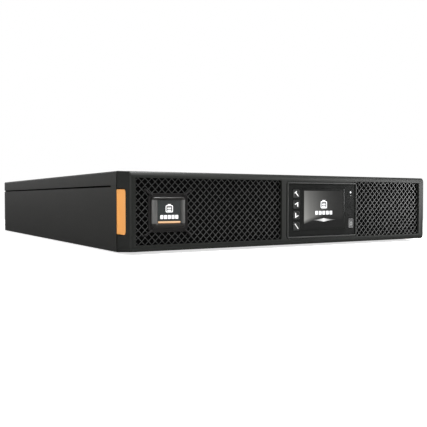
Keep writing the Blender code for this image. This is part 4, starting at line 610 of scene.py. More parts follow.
def makeLattice(name, node, window, keepOut=None):
    # staggered diamond cells tile the opening. Each cell is rings of four corners: the outline it shares
    # with its neighbours, a bevelled front hole edge, the hole's wall, and the same behind, in one grid
    left, right, bottom, top = window
    spec = lattice
    rowStep = (top - bottom) / spec["bands"]
    columnStep = (right - left) / round((right - left) / rowStep)
    half = np.array([columnStep, rowStep])
    bar, front, back = spec["bar"] / math.sqrt(2), -spec["setback"], -spec["setback"] - spec["thickness"]
    unit = np.array([(1, 0), (0, 1), (-1, 0), (0, -1)], float)
    cell = levels([unit * half, unit * (half - bar + spec["bevel"]), unit * (half - bar), unit * (half - bar),
                   unit * half], [front, front, front - spec["bevel"], back, back])
    columns, rows = np.meshgrid(np.arange(round((right - left) / columnStep) + 1),
                                np.arange(spec["bands"] + 1), indexing="ij")
    centres = np.column_stack([(left + columns * columnStep).ravel(), (bottom + rows * rowStep).ravel()])
    centres = centres[((columns + rows) % 2 == 0).ravel()]
    if keepOut:
        x, z, wide, tall = keepOut
        centres = centres[(np.abs(centres[:, 0] - x) > wide) | (np.abs(centres[:, 1] - z) > tall)]
    shift = np.column_stack([centres, np.zeros(len(centres))])
    cells = (cell.reshape(1, -1, 3) + shift[:, None]).reshape(-1, 3)
    faces = (gridFaces(5, 4)[None] + np.arange(len(centres))[:, None, None] * 20).reshape(-1, 4)
    fromArrays(name, placed(cells, "front", (0, frontY, 0)), faces.tolist(), "meshPlastic", "bezel",
               30, node)


def makeShadeSheet(name, window):
    # a near-black sheet shaped as open-cell foam behind a grille, painted shade for the dark inside: its
    # front is a shallow quilt of sines
    left, right, bottom, top = window
    spec, margin = shadeSheet, shadeSheet["margin"]
    u, v = np.meshgrid(np.linspace(left - margin, right + margin, 60),
                       np.linspace(bottom - margin, top + margin, 24), indexing="ij")
    quilt = spec["front"] + spec["quilt"] * (np.sin(u * spec["waves"]) * np.sin(v * spec["waves"]) - 1)
    sheet, rear = np.stack([u, v, quilt], 2), np.stack([u, v, np.full_like(u, spec["back"])], 2)
    solid(name, [np.concatenate([sheet, rear[:, ::-1]], 1)], "shadeFoam", "bezel", 60,
          ("front", (0, frontY, 0)))


def makeBadgeSeat():
    # the plain seat in the left grille: a thin dished plate, and at each corner a short slanting rib
    # that ends in a round boss
    spec = badgeSeat
    out = spec["lift"] - lattice["setback"]

    def outline(offset):
        return roundRect(spec["width"] + 2 * offset, spec["height"] + 2 * offset, spec["corner"] + offset, 8)

    grids = [levels([outline(inset) for inset in (0, 0, -0.0004, -0.0012, -0.0016, -0.016)],
                    [out - 0.0022, out - 0.0005, out, out, out - 0.0006, out - 0.0006])]
    for across in (-1, 1):
        for up in (-1, 1):
            corner = np.array([across * spec["width"] / 2, up * spec["height"] / 2, out - 0.0001])
            start = corner - (across * 0.0040, up * 0.0022, 0)
            end = corner + (across * 0.0032, up * 0.0030, 0)
            grids.append(tubeGrid(start + (end - start) * np.linspace(0, 1, 9)[:, None], spec["rib"]))
            boss = lathe([(0.0016, out - 0.0020), (0.0016, out - 0.0002), (0.0012, out + 0.0002),
                          (0.0004, out + 0.0002)], 20)
            grids.append(boss + (end[0], end[1], 0))
    solid("badgeSeat", grids, "padPlastic", "bezel", 50,
          onNode("badge_frame", "front", frontY))


def makeGrip(name, sign):
    # the finger grip: rounded front corners, eased edges and a shallow scoop, out = face - scoop * (1 - s^2)
    part, spec = spot(name), grip
    front, back = part.low.y + spec["lip"], part.high.y + spec["toJoint"]
    wide, tall = back - front, part.size.z - 2 * spec["lip"]
    faceX, edge = halfWidth - spec["sink"], spec["edge"]

    def outline(inset):
        # a rounded rectangle whose corners on the case's side are nearly square
        line, square = [roundRect(wide - 2 * inset, tall - 2 * inset, corner, 8)
                        for corner in (spec["corner"] - inset, 0.0006)]
        return np.where((line[:, 0] > 0)[:, None], square, line)

    turn = np.linspace(0, math.pi / 2, 5)
    rings = [(outline(0.0), faceX - spec["depth"]),
             *[(outline(edge * (1 - math.cos(t))), faceX - edge + edge * math.sin(t)) for t in turn]]
    rings += [(outline(edge) * share, faceX) for share in (0.9, 0.75, 0.6, 0.45, 0.3, 0.15, 0.02)]
    grid = np.stack([np.column_stack([np.full(len(line), x), line]) for line, x in rings])
    share = np.clip(np.abs(grid[6:, :, 1]) / (wide / 2 - edge), 0, 1)
    grid[6:, :, 0] -= spec["scoop"] * (1 - share ** 2)
    grid[:, :, 0] *= sign
    solid(f"{name}Face", [grid + (0, (front + back) / 2, part.centre.z)], "orangePlastic", "bezel",
          40, node=name)
    plate = placed(slab(roundRect(part.size.y, part.size.z, 0.0010, 3), 0.0, spec["plate"]), "right",
                   (0, part.centre.y, part.centre.z))
    plate[:, :, 0] = sign * (plate[:, :, 0] + abs(part.low.x if sign > 0 else part.high.x))
    solid(f"{name}Back", [plate], "padPlastic", "bezel", 30)


def makeSeamShadows():
    # painted shadow: a near-black half-round strip lies in the slot under each flange of the cover, standing
    # in for the seam's shade: out = crown * sqrt(1 - share squared)
    spec, share = seamShade, np.linspace(-1, 1, 13)
    middleZ, half = (spec["low"] + spec["high"]) / 2, (spec["high"] - spec["low"]) / 2
    out = halfWidth - spec["depth"] + spec["crown"] * np.sqrt(1 - share ** 2) - spec["room"]
    for side, sign in (("left", -1), ("right", 1)):
        grid = np.stack([np.column_stack([sign * out, np.full(len(out), y), middleZ + share * half])
                         for y in np.linspace(caseFrontY + spec["start"], caseRearY, 24)])
        solid(f"seamShadow_{side}", [grid], "shadowBlack", "chassis", 50)


makeBezel()
makeSeamShadows()
badgeCentre = spot("badge_frame").centre
makeLattice("leftLattice", "grille_left", leftOpening,
            (badgeCentre.x, badgeCentre.z, *[badgeSeat[side] / 2 - badgeSeat["overlap"]
                                             for side in ("width", "height")]))
makeLattice("rightLattice", "grille_right", rightOpening)
# near-black sheets behind the grilles paint the shade inside
makeShadeSheet("leftShadeSheet", leftOpening)
makeShadeSheet("rightShadeSheet", rightOpening)
makeBadgeSeat()
makeGrip("grip_left", -1)
makeGrip("grip_right", 1)
print("bezel, grilles and grips made")


printDepth = 0.00012                             # how far a printed mark stands out


def stamp(name, outlines, at, finish, body, thickness=printDepth):
    # flat shapes about a tenth of a millimetre thick, each from its outline
    solid(name, [slab(line, 0.0, thickness) for line in outlines], finish, body, 30, at)


def ringProfile(inner, outer, thickness):
    # a flat ring's section
    return [(inner, 0.0), (outer, 0.0), (outer, thickness), (inner, thickness)]


def batteryMark(name, height, at, finish, body):
    # a generic sign: an upright battery cell's outline, its cap, and two charge bars
    width, line = height * 0.98, height * 0.11
    hoop(f"{name}Outline", lambda offset: roundRect(width + 2 * offset, height * 0.86 + 2 * offset,
                                                    line * 1.4 + offset, 4),
         ringProfile(-line, 0.0, printDepth), at, finish, body)
    shapes = [roundRect(width * 0.44, line * 1.3, line * 0.4, 3) + (0, height * 0.43 + line * 0.55)]
    shapes += [roundRect(width * 0.52, height * 0.17, line * 0.3, 3) + (0, rise * height)
               for rise in (-0.20, 0.06)]
    stamp(f"{name}Charge", shapes, at, finish, body)


def dashes(width, height, pitch, rise):
    # five blocks in a row, for a name or a meter
    return [roundRect(width, height, 0.0004, 3) + (across * pitch, rise) for across in range(-2, 3)]


# the first two numbers size the painted highlight on the badge frame's sides
badge = dict(highlightWidth=0.0045, litSideEdge=2500.0, slopeOut=0.0015, step=0.0007, corner=0.0026, sink=0.0008,
             markHeight=0.0086, markRise=0.0030, nameRise=-0.0054, stripeRise=-0.0106, stripe=0.0017,
             spigot=0.0060, collar=0.0072)


def badgePaintedLight(centre, size):
    # painted light on the frame: a painted highlight in pale grey at the two sides of the face, palest at
    # their outer edges, and painted shade in black above and below
    made = Recipe("badgeFrame", 0.3, Specular_IOR_Level=0.45)
    where = made.place()
    outer = ((abs(made.axis(where, "X") - centre.x) - size.x / 2) / badge["highlightWidth"]).clamp()
    litSides = ((size.z / 2 - abs(made.axis(where, "Z") - centre.z)) * badge["litSideEdge"] + 0.5).clamp()
    grain = made.noise(where, 1900.0, 2.0, 0.6)
    highlightColour = made.blend(made.noise(where, 60.0, 3.0), (0.075, 0.075, 0.073), (0.12, 0.12, 0.116))
    return made.feed(Base_Color=made.blend(litSides * (outer * 0.7 + 0.3), (0.014, 0.013, 0.012), highlightColour),
                     Roughness=(grain - 0.5) * 0.1 + 0.34, Normal=made.bump(grain, 0.3, 0.00002))


def makeBadge():
    # a frame with sloping sides, a flat rim and a step down to its face, on a turning spigot. Each outline
    # lies between the outer rectangle and the face's, by a share
    spec, frameBox, panel = badge, spot("badge_frame"), spot("badge_face")
    centre = frameBox.centre
    front, back = frontY - frameBox.low.y, frontY - spot("grille_left").low.y + 0.0003

    def outline(share):
        a = frameBox.low + (panel.low - frameBox.low) * share
        b = frameBox.high + (panel.high - frameBox.high) * share
        line = roundRect(b.x - a.x, b.z - a.z, spec["corner"] * (1 - share) + 0.0004, 7)
        return line + ((a.x + b.x) / 2 - centre.x, (a.z + b.z) / 2 - centre.z)

    slope = spec["slopeOut"]
    steps = [(0.0, back), (0.0, front - slope - 0.0002), (0.02, front - slope), (0.15, front - slope * 0.45),
             (0.32, front - 0.0001), (0.36, front), (0.70, front), (0.95, front - spec["step"]),
             (1.0, front - spec["step"] - spec["sink"])]
    # the frame's finish paints a highlight on its sides and shade above and below
    finishes["badgeFrame"] = badgePaintedLight(panel.centre, panel.size)
    rear, spigot, collar = frontY - frameBox.high.y, spec["spigot"], spec["collar"]
    turn = lathe([(spigot, back + 0.0004), (spigot, rear + 0.0015), (collar, rear + 0.0015),
                  (collar, rear + 0.0003), (collar - 0.0006, rear)], 32)
    solid("badgeFrame", [stackedBy(outline, steps), turn], "badgeFrame", "badge", 22,
          onNode("badge_frame", "front", frontY), "badge_frame")
    at = onNode("badge_face", "front", panel.low.y + 0.0001)
    face = dict(width=panel.size.x, height=panel.size.z, corner=0.0008, edge=0.00025, back=-0.0006)
    button("badgePanel", face, at, "badgeFace", "badge", node="badge_face")
    batteryMark("badgeMark", spec["markHeight"], ("front", np.array(at[1]) + (0, 0, spec["markRise"])),
                "whitePrint", "badge")
    stamp("badgeDashes", dashes(0.0034, 0.0040, 0.0043, spec["nameRise"]), at, "whitePrint", "badge")
    width, rise = panel.size.x, spec["stripeRise"]
    stamp("badgeStripe", [roundRect(width - 0.0006, spec["stripe"], 0.0002, 2) + (0, rise)], at,
          "badgeStripe", "badge")
    # a brown band under the stripe: painted shade
    stamp("badgeStripePaintedShade", [roundRect(width - 0.0010, 0.0007, 0.0002, 2) + (0, rise - 0.0013)], at,
          "orangePaintedShade", "badge")

screen = dict(rim=0.0022, reflectionInset=0.0056, markHeight=0.0100, markRise=0.0052, meterRise=-0.0044,
              glowReach=0.0185, glowHeight=0.0020, glowRise=-0.0130)


def screenPaintedReflection(low, high):
    # a painted reflection, given off as the screen's glowing picture: grey that falls off to the right,
    # faint upright bands, and a darker lower part whose edge climbs to the right
    made = Recipe("screenPaintedReflection", 0.09, Specular_IOR_Level=0.22, Emission_Strength=1.0)
    where = made.place()
    across = (made.axis(where, "X") - low.x) / (high.x - low.x)
    up = (made.axis(where, "Z") - low.z) / (high.z - low.z)
    fall = ((1 - across * 0.98).clamp() ** 2.5) * (1.08 - up * 0.62)
    bands = made.noise(made.place((1, 0, 0)), 140.0, 2.0)
    lit = ((up - across * 0.42 - 0.10) * 9.0).clamp()
    upper = ((up - across * 0.10 - 0.10) * 7.0).clamp()
    tone = fall * lit * ((bands - 0.5) * 0.35 + 1.0) + upper * 0.05
    smear = made.noise(where, 60.0, 4.0)
    paintedReflection = made.blend(tone.clamp(), (0.004, 0.004, 0.004), (0.34, 0.34, 0.325))
    return made.feed(Base_Color=made.blend(smear * 0.3, (0.008, 0.008, 0.008), (0.02, 0.02, 0.02)),
                     Emission_Color=paintedReflection, Roughness=smear * 0.08 + 0.05)


def glowBar(middleX, reach):
    # brightest in its middle: the light falls by a power of the distance along the bar
    made = Recipe("screenGlow", 0.3, Specular_IOR_Level=0.2, Emission_Strength=1.0)
    where = made.place()
    away = (abs(made.axis(where, "X") - middleX) / reach).clamp()
    speck = made.noise(where, 900.0, 2.0)
    return made.feed(Emission_Color=made.blend((1 - away) ** 1.5, (0.03, 0.03, 0.03), (1.0, 1.0, 1.0)),
                     Base_Color=made.blend(speck, (0.02, 0.02, 0.02), (0.04, 0.04, 0.04)))


def makeDisplay():
    spec, lens, film = screen, spot("display_lens"), 0.00006
    rim = Vector((spec["rim"], 0, spec["rim"]))
    # the screen's glowing sheet carries a painted reflection
    finishes["screenPaintedReflection"] = screenPaintedReflection(lens.low + rim, lens.high - rim)
    finishes["screenGlow"] = glowBar(lens.centre.x, spec["glowReach"])
    at, lit = onNode("display_lens", "front"), onNode("display_lens", "front", lens.low.y - film)
    button("screenGlass", dict(width=lens.size.x, height=lens.size.z, corner=0.0012, edge=film,
                               back=-lens.size.y), at, "glossBlack", "chassis", node="display_lens")
    # a thin sheet over the glass glows with the painted reflection
    paintedReflection = roundRect(lens.size.x - spec["reflectionInset"], lens.size.z - spec["reflectionInset"], 0.0003, 2)
    stamp("screenReflectionSheet", [paintedReflection], at, "screenPaintedReflection", "chassis", film)
    batteryMark("screenMark", spec["markHeight"], ("front", np.array(lit[1]) + (0, 0, spec["markRise"])),
                "litWhite", "chassis")
    stamp("screenMeter", dashes(0.0041, 0.0044, 0.0056, spec["meterRise"]), lit, "litWhite", "chassis")
    # the glow bar is a lens: its half height falls faster than the distance from the middle grows
    span = np.linspace(-1, 1, 41)
    edge = spec["glowHeight"] * (1 - np.abs(span)) ** 1.6 + 0.0001
    outline = np.concatenate([np.column_stack([span, -edge]), np.column_stack([span[::-1], edge[::-1]])])
    stamp("screenGlow", [outline * (spec["glowReach"], 1) + (0, spec["glowRise"])], lit, "screenGlow",
          "chassis")


keyIcons = dict(                                 # outlines in millimetres about each key's middle
    escape_key=[(-3.0, 0.9), (-0.4, 3.1), (0.3, 2.7), (-0.4, 1.3), (3.0, -2.8), (2.3, -3.3), (-1.5, 0.7),
                (-2.8, 0.3)],
    up_key=[(-2.6, 0.6), (2.5, 3.0), (2.3, -2.6), (0.9, -2.7), (0.9, 0.7), (-2.2, -0.4)],
    down_key=[(-1.9, 3.0), (-0.7, 2.7), (-0.5, -1.0), (2.5, 0.2), (2.9, -0.7), (-2.1, -3.0)],
    enter_key=[(-3.0, 3.2), (-1.9, 3.0), (3.0, -2.9), (2.1, -3.2)],
)
key = dict(corner=0.0022, edge=0.0004, dish=0.00018, flange=0.0006, iconDepth=0.0002)


def keyPrint(name):
    # where a key's sign is printed: a little below the highest part of its dished face
    return onNode(name, "front", spot(name).low.y + key["dish"] * 0.7)


def makeKey(name, finish):
    # the visible cap leaves out the CAD key's wider, hidden flange
    size, flange = spot(name).size, key["flange"]
    button(f"{name}Cap", dict(key, width=size.x - 2 * flange, height=size.z - 2 * flange, back=-size.y),
           onNode(name, "front"), finish, name, node=name)


def makeKeys():
    depth = key["iconDepth"]
    for name, icon in keyIcons.items():
        makeKey(name, "keyPlastic")
        stamp(f"{name}Icon", [np.array(icon) / 1000], keyPrint(name), "whitePrint", name, depth)
    makeKey("power_key", "powerKey")
    facing, place = keyPrint("power_key")
    hoop("powerRing", lambda radius: circle(radius, 40), ringProfile(0.0012, 0.0019, depth),
         (facing, np.array(place) - (0, 0, 0.0003)), "greyPrint", "power_key")
    stamp("powerTick", [roundRect(0.0007, 0.0026, 0.0002, 2) + (0, 0.0014)], (facing, place), "greyPrint",
          "power_key", depth)


def makeLamp():
    # a domed lamp, and a tick printed on the fascia below it
    size, dome = spot("status_lamp").size, 0.0006
    radius = size.x / 2
    profile = [(radius, -size.y)] + [(max(radius * math.cos(t), 0.00005), dome * math.sin(t) - dome)
                                     for t in np.linspace(0, math.pi / 2, 8)]
    solid("lampDome", [lathe(profile, 28)], "litWhite", "chassis", 60, onNode("status_lamp", "front"),
          "status_lamp")
    stamp("lampTick", [roundRect(0.0018, 0.0005, 0.0001, 2) + (0, -0.0042)],
          onNode("status_lamp", "front", spot("display_housing").low.y), "greyPrint", "chassis", 0.0001)


makeBadge()
makeDisplay()
makeKeys()
makeLamp()
print("badge, display, keys and lamp made")


def headField(radius, height, at, relief, knurls=0, sides=48):
    # a screw head as a polar height field: its face falls by an ellipse, and a relief is taken out of it.
    # A knurled side waves by the cosine of the angle
    turn = np.linspace(0, 2 * math.pi, sides, endpoint=False)
    wave = 1 + 0.045 * np.cos(knurls * turn) if knurls else np.ones(sides)
    shoulder, dome = (0.86, 0.88) if knurls else (0.45, 0.45)
    rows = [np.column_stack([radius * wave * np.cos(turn), radius * wave * np.sin(turn), np.full(sides, out)])
            for out in (0.0, height * 0.3, height * shoulder)]
    for share in np.concatenate([[0.96, 0.88], np.linspace(0.8, 0.04, 10)]):
        x, y = radius * share * np.cos(turn), radius * share * np.sin(turn)
        out = height * (dome + (1 - dome) * math.sqrt(1 - share ** 2))
        rows.append(np.column_stack([x, y, out - relief(np.abs(x), np.abs(y))]))
    return placed(np.stack(rows), *at)


def crossRelief(arm, half, depth):
    # a cross recess: full depth inside either arm, with walls that slope over a share of its width
    soft = lambda inside: np.clip(inside / (half * 0.6), 0, 1)
    return lambda x, y: depth * np.maximum(soft(half - x) * soft(arm - y), soft(half - y) * soft(arm - x))


def slotRelief(half, depth):
    return lambda x, y: depth * np.clip((half - y) / (half * 0.5), 0, 1)


screws = dict(height=0.0016, coverRadius=0.0029, coverAt=(-0.195, 0.0, 0.195), coverDrop=0.0062,
              fanRadius=0.0026, fanSpread=0.025, doorRadius=0.0028, doorHeight=0.0059, doorShank=0.0015,
              cardRadius=0.0044, cardAt=0.0294, cardSeat=0.0015)


def makeScrews():
    spec = screws
    for index, x in enumerate(spec["coverAt"]):
        at = ("back", (x, caseRearY, caseTop - spec["coverDrop"]))
        head = headField(spec["coverRadius"], spec["height"], at, crossRelief(0.0016, 0.0004, 0.0008))
        solid(f"coverScrew{index + 1}", [head], "zincSteel", "chassis", 50)
    guardFace, spread = spot("fan_guard_left").high.y, (-spec["fanSpread"], spec["fanSpread"])
    for side in ("left", "right"):
        centre = spot(f"fan_frame_{side}").centre
        places = [("back", (centre.x + i, guardFace, centre.z + k)) for i in spread for k in spread]
        heads = [headField(spec["fanRadius"], spec["height"], at, crossRelief(0.0014, 0.00035, 0.0007))
                 for at in places]
        solid(f"fanScrews_{side}", heads, "zincSteel", "chassis", 50)
    for index in range(4):
        name = f"door_screw_{index + 1}"
        at = onNode(name, "front", spot("battery_sled").low.y - 0.0003)
        head = headField(spec["doorRadius"], spec["doorHeight"], at, slotRelief(0.0004, 0.0009), 16)
        shank = placed(lathe([(spec["doorShank"], -0.0055), (spec["doorShank"], 0.0010)], 16), *at)
        solid(f"doorKnob{index + 1}", [head, shank], "zincSteel", "battery_pack", 40, node=name)
    card, seat = spot("card_slot_cover"), panelY + spec["cardSeat"]
    for index, sign in enumerate((-1, 1)):
        head = headField(spec["cardRadius"], card.high.y - seat + 0.0002,
                         ("back", (card.centre.x + sign * spec["cardAt"], seat, card.centre.z)),
                         slotRelief(0.0005, 0.0010), 20, 60)
        solid(f"cardKnob{index + 1}", [head], "zincSteel", "chassis", 40)


guard = dict(wire=0.00065, spread=0.025, strutFrom=0.004, strutTo=0.0330, strutOut=0.0008,
             rings=((0.0055, 0.0021), (0.0120, 0.0021), (0.0185, 0.0020), (0.0245, 0.0018), (0.0285, 0.0016)),
             eye=((0.0019, 0.0), (0.0042, 0.0), (0.0042, 0.0014), (0.0039, 0.0015), (0.0019, 0.0015),
                  (0.0019, 0.0)))


def makeGuard(side):
    # wire rings on two crossed struts, with a flat eye at each of the four screws
    spec, at = guard, onNode(f"fan_guard_{side}", "back")
    section = circle(spec["wire"], 8)
    rings = [stackedBy(lambda a: circle(radius + a, 64), section + (0, out)) for radius, out in spec["rings"]]
    solid(f"guardRings_{side}", rings, "wireSteel", "chassis", 60, at, f"fan_guard_{side}",
          caps=False, closeRows=True)
    struts = []
    reach = np.linspace(spec["strutFrom"], spec["strutTo"], 16)
    for angle in np.radians((45, 135, 225, 315)):
        across, up = math.cos(angle), math.sin(angle)
        path = np.column_stack([reach * across, reach * up, np.full(16, spec["strutOut"])])
        middleAt = np.array([math.copysign(spec["spread"], across), math.copysign(spec["spread"], up)])
        struts += [tubeGrid(path, spec["wire"], 8),
                   stackedBy(lambda radius: circle(radius, 24) + middleAt, spec["eye"])]
    solid(f"guardStruts_{side}", struts, "wireSteel", "chassis", 60, at)


rotor = dict(blades=7, hub=0.0148, tip=0.0272, pitchRoot=52, pitchTip=32, sweep=14, thickness=0.0011,
             root=0.0006, chord=0.0092, widening=0.0026, camber=0.0010, flatten=0.80, room=0.001)


def makeRotor(side):
    # each blade is a thin curved sheet: its pitch falls and its chord sweeps back from root to tip
    spec, node = rotor, f"fan_rotor_{side}"
    depth = spot(node).size.y
    hub = [(0.0060, 0.0), (0.0134, 0.0), (spec["hub"], 0.0014), (spec["hub"], depth - 0.0014),
           (0.0138, depth - 0.0004), (0.0128, depth), (0.0050, depth), (0.0044, depth - 0.0004),
           (0.0020, depth - 0.0004)]
    grids = [lathe(hub, 56)]
    u, v = np.meshgrid(np.linspace(0, 1, 10), np.linspace(-1, 1, 12), indexing="ij")
    radius = spec["hub"] - spec["root"] + (spec["tip"] - spec["hub"] + spec["root"]) * u
    pitch = np.radians(spec["pitchRoot"] + (spec["pitchTip"] - spec["pitchRoot"]) * u)
    length, limit = spec["chord"] + spec["widening"] * u, depth / 2 - spec["room"]
    along = v * length * np.cos(pitch) + spec["camber"] * (1 - v ** 2)
    rise = depth / 2 + np.clip(v * length * np.sin(pitch) * spec["flatten"], -limit, limit)
    thick = spec["thickness"] * (1 - 0.6 * v ** 2) / 2
    for index in range(spec["blades"]):
        base = 2 * math.pi * index / spec["blades"] + math.radians(spec["sweep"]) * u ** 1.5
        sheets = []
        for sign in (1, -1):
            angle = base + (along + sign * thick * np.sin(pitch)) / radius
            sheets.append(np.stack([radius * np.cos(angle), radius * np.sin(angle),
                                    rise - sign * thick * np.cos(pitch)], 2))
        grids.append(np.concatenate([sheets[0], sheets[1][:, ::-1]], 1))
    solid(f"rotor_{side}", grids, "rotorPlastic", node, 40, onNode(node, "back"), node)


contacts = dict(                                 # pins as (across, up) from a socket's middle
    outletPitch=0.0310, outletShim=0.00088, outletPins=((-0.0195 / 3.4, -0.0115 / 6),
                                                        (0.0195 / 3.4, -0.0115 / 6), (0.0, 0.0115 / 6)),
    largeShim=0.00098, largePins=((-0.0065, -0.0040), (0.0065, -0.0040), (0.0, 0.0045)), externalAt=0.0068,
)


def blade(width, height, corner, arc, middleAt, insets, outs):
    # a flat contact: its outline shrinks by the insets on its way out
    return levels([roundRect(width - 2 * i, height - 2 * i, corner, arc) + middleAt for i in insets], outs)


def makeRearContacts():
    spec, flange = contacts, spot("outlet_bank_lower").high.y
    shims = []
    for node in ("outlet_bank_lower", "outlet_bank_upper"):
        centre = spot(node).centre
        for x in centre.x + np.arange(-1.5, 2) * spec["outletPitch"]:
            places = [(side * spec["outletShim"] - (x + across), centre.z + up)
                      for across, up in spec["outletPins"] for side in (-1, 1)]
            shims += [blade(0.0004, 0.0044, 0.0001, 1, place, (0, 0), (-0.0130, -0.0035)) for place in places]
    solid("outletContacts", shims, "brass", "chassis", 30, ("back", (0, flange, 0)))
    blades = [blade(0.0083, 0.0023, 0.0003, 2, (-across, up), (0, 0, 0.0003, 0.0007),
                    (-0.0160, -0.0040, -0.0036, -0.0033)) for across, up in spec["largePins"]]
    solid("inletBlades", blades, "brass", "chassis", 30, onNode("mains_inlet", "back", flange))
    shims = [blade(0.0082, 0.0004, 0.0001, 1, (-across, up + side * spec["largeShim"]), (0, 0),
                   (-0.0130, -0.0030)) for across, up in spec["largePins"] for side in (-1, 1)]
    solid("largeContacts", shims, "brass", "chassis", 30,
          onNode("high_current_outlet", "back", flange))
    plates = [blade(0.0074, 0.0030, 0.0008, 4, (side * spec["externalAt"], 0), (0, 0, 0.0004, 0.0010),
                    (-0.0157, -0.0064, -0.0058, -0.0055)) for side in (1, -1)]
    solid("externalContacts", plates, "gold", "chassis", 40,
          onNode("external_battery_socket", "back", flange))


ports = dict(                                    # each place is across from the port block's middle
    networkAt=(-0.0150, 0.0010), wires=8, wirePitch=0.00102, wireRadius=0.00022,
    wirePath=((-0.0115, 0.0034), (-0.0095, 0.0034), (-0.0030, 0.0010), (-0.0022, 0.0012), (-0.0019, 0.0018),
              (-0.0020, 0.0024)),
    dataAt=0.0163, lampSpread=0.0040, lampRise=0.0052)


def makePorts():
    # eight sprung wires slant down into each network port, and a tongue fills the data port
    spec, block = ports, spot("port_block")
    face, centre, wires = block.high.y, block.centre, []
    for mouth in spec["networkAt"]:
        for index in range(spec["wires"]):
            x = centre.x + mouth + (index - (spec["wires"] - 1) / 2) * spec["wirePitch"]
            wires.append(tubeGrid([(x, face + out, centre.z + up) for out, up in spec["wirePath"]],
                                  spec["wireRadius"], 6))
    solid("portWires", wires, "gold", "chassis", 60)
    solid("dataTongue", [slab(roundRect(0.0058, 0.0030, 0.0004, 3), -0.0049, -0.0012)], "whitePlastic",
          "chassis", 30, ("back", (centre.x + spec["dataAt"], face, centre.z)))
    places = [(side * spec["lampSpread"] - mouth, spec["lampRise"])
              for mouth in spec["networkAt"] for side in (-1, 1)]
    lamps = [slab(roundRect(0.0022, 0.0012, 0.0003, 3) + place, -0.0006, 0.00025) for place in places]
    solid("portLamps", lamps, "portLamp", "chassis", 30, ("back", (centre.x, face, centre.z)))


stud = dict(root=0.0020, threadFrom=0.0062, pitch=0.0007, crest=0.00198, valley=0.00166, washer=0.0041,
            nut=0.0042)


def makeStud():
    # the stud's thread is a fine saw-tooth of radius along its length, then a nut with chamfered corners
    spec, part = stud, spot("ground_stud")
    length, start, pitch = part.size.y, spec["threadFrom"], spec["pitch"]
    profile = [(0.0012, 0.0), (spec["root"], 0.0006), (spec["root"], start)]
    for out in start + np.arange(int((length - start - 0.0008) / pitch)) * pitch:
        profile += [(spec["crest"], out + pitch * 0.15), (spec["valley"], out + pitch * 0.65)]
    profile += [(0.0019, length - 0.0006), (0.0013, length), (0.0002, length)]
    seat, nut = panelY + 0.0003 - part.low.y, spec["nut"]
    grids = [lathe(profile, 28),
             levels([circle(radius, 6) for radius in (nut - 0.0002, nut, nut, nut - 0.0003)],
                    [seat + out for out in (0.0006, 0.0009, 0.0029, 0.0032)]),
             slab(circle(spec["washer"], 36), seat, seat + 0.0006)]
    solid("earthStud", grids, "brass", "chassis", 30, onNode("ground_stud", "back"), "ground_stud")


def makeBreakerCap():
    # a round button whose edge is a quarter ellipse, with a shallow dish in its end
    size = spot("breaker_button").size
    radius, length = size.x / 2, size.y
    cap = [(radius * 0.9, 0.0), (radius, 0.0005), (radius, length - 0.0012)]
    cap += [(radius * (0.62 + 0.38 * math.cos(t)), length - 0.0012 + 0.0011 * math.sin(t))
            for t in np.linspace(0, math.pi / 2, 8)[1:]]
    cap += [(radius * 0.56, length - 0.0001), (radius * 0.50, length - 0.0005), (0.0002, length - 0.0006)]
    solid("breakerCap", [lathe(cap)], "breakerPlastic", "breaker_button", 40,
          onNode("breaker_button", "back"), "breaker_button")


battery = dict(corner=0.0026, smallCorner=0.0002, terminal=0.0040, tabHalf=0.0032, tabThick=0.0012,
               tabRise=0.0202, tabsFrom=(0.01525, -0.01675),
               steps=((0.0015, 0.0), (0.0004, 0.0005), (0.0, 0.0016), (0.0, 0.0480), (0.0007, 0.0484),
                      (0.0007, 0.0494), (0.0, 0.0498), (0.0, 0.0636), (0.0004, 0.0645), (0.0014, 0.0650),
                      (0.0200, 0.0650), (0.0204, 0.0646), (0.0400, 0.0646)))


def makeBattery(name, outward):
    # a sealed block: eased edges, a groove under the lid, a sunk panel, and two blade terminals
    spec, part = battery, spot(name)
    length = part.size.y - spec["terminal"]
    middleY = part.centre.y - outward * spec["terminal"] / 2

    def outline(inset):
        corner = max(spec["corner"] - inset, spec["smallCorner"])
        return roundRect(part.size.x - 2 * inset, length - 2 * inset, corner, 5)

    solid(f"{name}Case", [stackedBy(outline, spec["steps"])], "batteryCase", "battery_pack",
          35, ("top", (part.centre.x, middleY, part.low.z)), name)
    face, tip, tabs = middleY + outward * length / 2, spec["terminal"], []
    for x in (part.low.x + spec["tabsFrom"][0], part.high.x + spec["tabsFrom"][1]):
        tabs.append(np.stack([np.column_stack([
            np.array([-1, 1, 1, -1]) * spec["tabHalf"] * share + x, np.full(4, face + outward * out),
            np.array([0, 0, 1, 1]) * spec["tabThick"] + part.low.z + spec["tabRise"]])
            for share, out in ((1, -0.001), (1, tip - 0.0006), (0.7, tip - 0.0001))]))
    solid(f"{name}Tabs", tabs, "zincSteel", "battery_pack", 30)


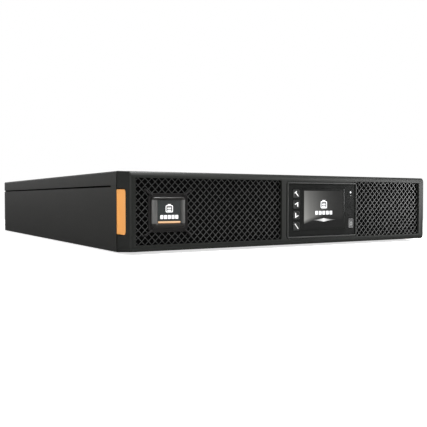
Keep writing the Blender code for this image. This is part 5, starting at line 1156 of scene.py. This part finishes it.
sleeve = dict(barY=0.0030, half=0.026, radius=0.0036, swell=0.0004, ring=0.00025, rings=7, bore=0.0028)


def makeHandleSleeve():
    # a rubber sleeve round the handle's bar, thickest in its middle, with shallow finger rings
    spec, handle = sleeve, spot("pull_handle")
    along = np.linspace(-1, 1, 60)
    grooves = np.abs(np.sin(along * spec["rings"] * math.pi)) < 0.35
    radius = spec["radius"] + spec["swell"] * (1 - along ** 2) - spec["ring"] * grooves
    unit, places = circle(1.0, 24), [-1, *along, 1]
    rows = [np.column_stack([np.full(24, handle.centre.x + a * spec["half"]),
                             handle.low.y + spec["barY"] + unit[:, 0] * r, handle.centre.z + unit[:, 1] * r])
            for a, r in zip(places, [spec["bore"], *radius, spec["bore"]])]
    solid("handleSleeve", [np.stack(rows)], "rubberBlack", "battery_pack", 40)


makeScrews()
for side in ("left", "right"):
    makeGuard(side)
for side in ("left", "right"):
    makeRotor(side)
makeRearContacts()
makePorts()
makeStud()
makeBreakerCap()
for index in range(4):
    makeBattery(f"battery_{index + 1}", -1 if index % 2 else 1)
makeHandleSleeve()
print("screws, rear fittings, fans and batteries made")


nodeFinishes = dict(                             # the CAD nodes that stay
    casePaint=["base_tray", "top_cover", "rear_panel", "front_bulkhead", "card_slot_cover", "battery_sled",
               "pull_handle"],
    glossBlack=["display_housing", "display_screen"],
    socketPlastic=["battery_plug", "battery_socket", "bus_capacitor_1", "bus_capacitor_2",
                   "fan_frame_left", "fan_frame_right", "outlet_bank_lower", "outlet_bank_upper",
                   "high_current_outlet", "mains_inlet", "breaker_body", "external_battery_socket"],
    batteryCase=["transformer"],
    solderMask=["main_board", "display_board"],
    zincSteel=["bay_divider", "port_block"],
    aluminium=["heatsink_left", "heatsink_right"],
    copperWinding=["output_choke_1", "output_choke_2"],
    rubberRed=["battery_lead_positive"],
    rubberBlack=["battery_lead_negative"],
)
for finish, names in nodeFinishes.items():
    for name in names:
        nodes[name].data.materials.clear()
        nodes[name].data.materials.append(finishes[finish])
print("CAD nodes dressed")
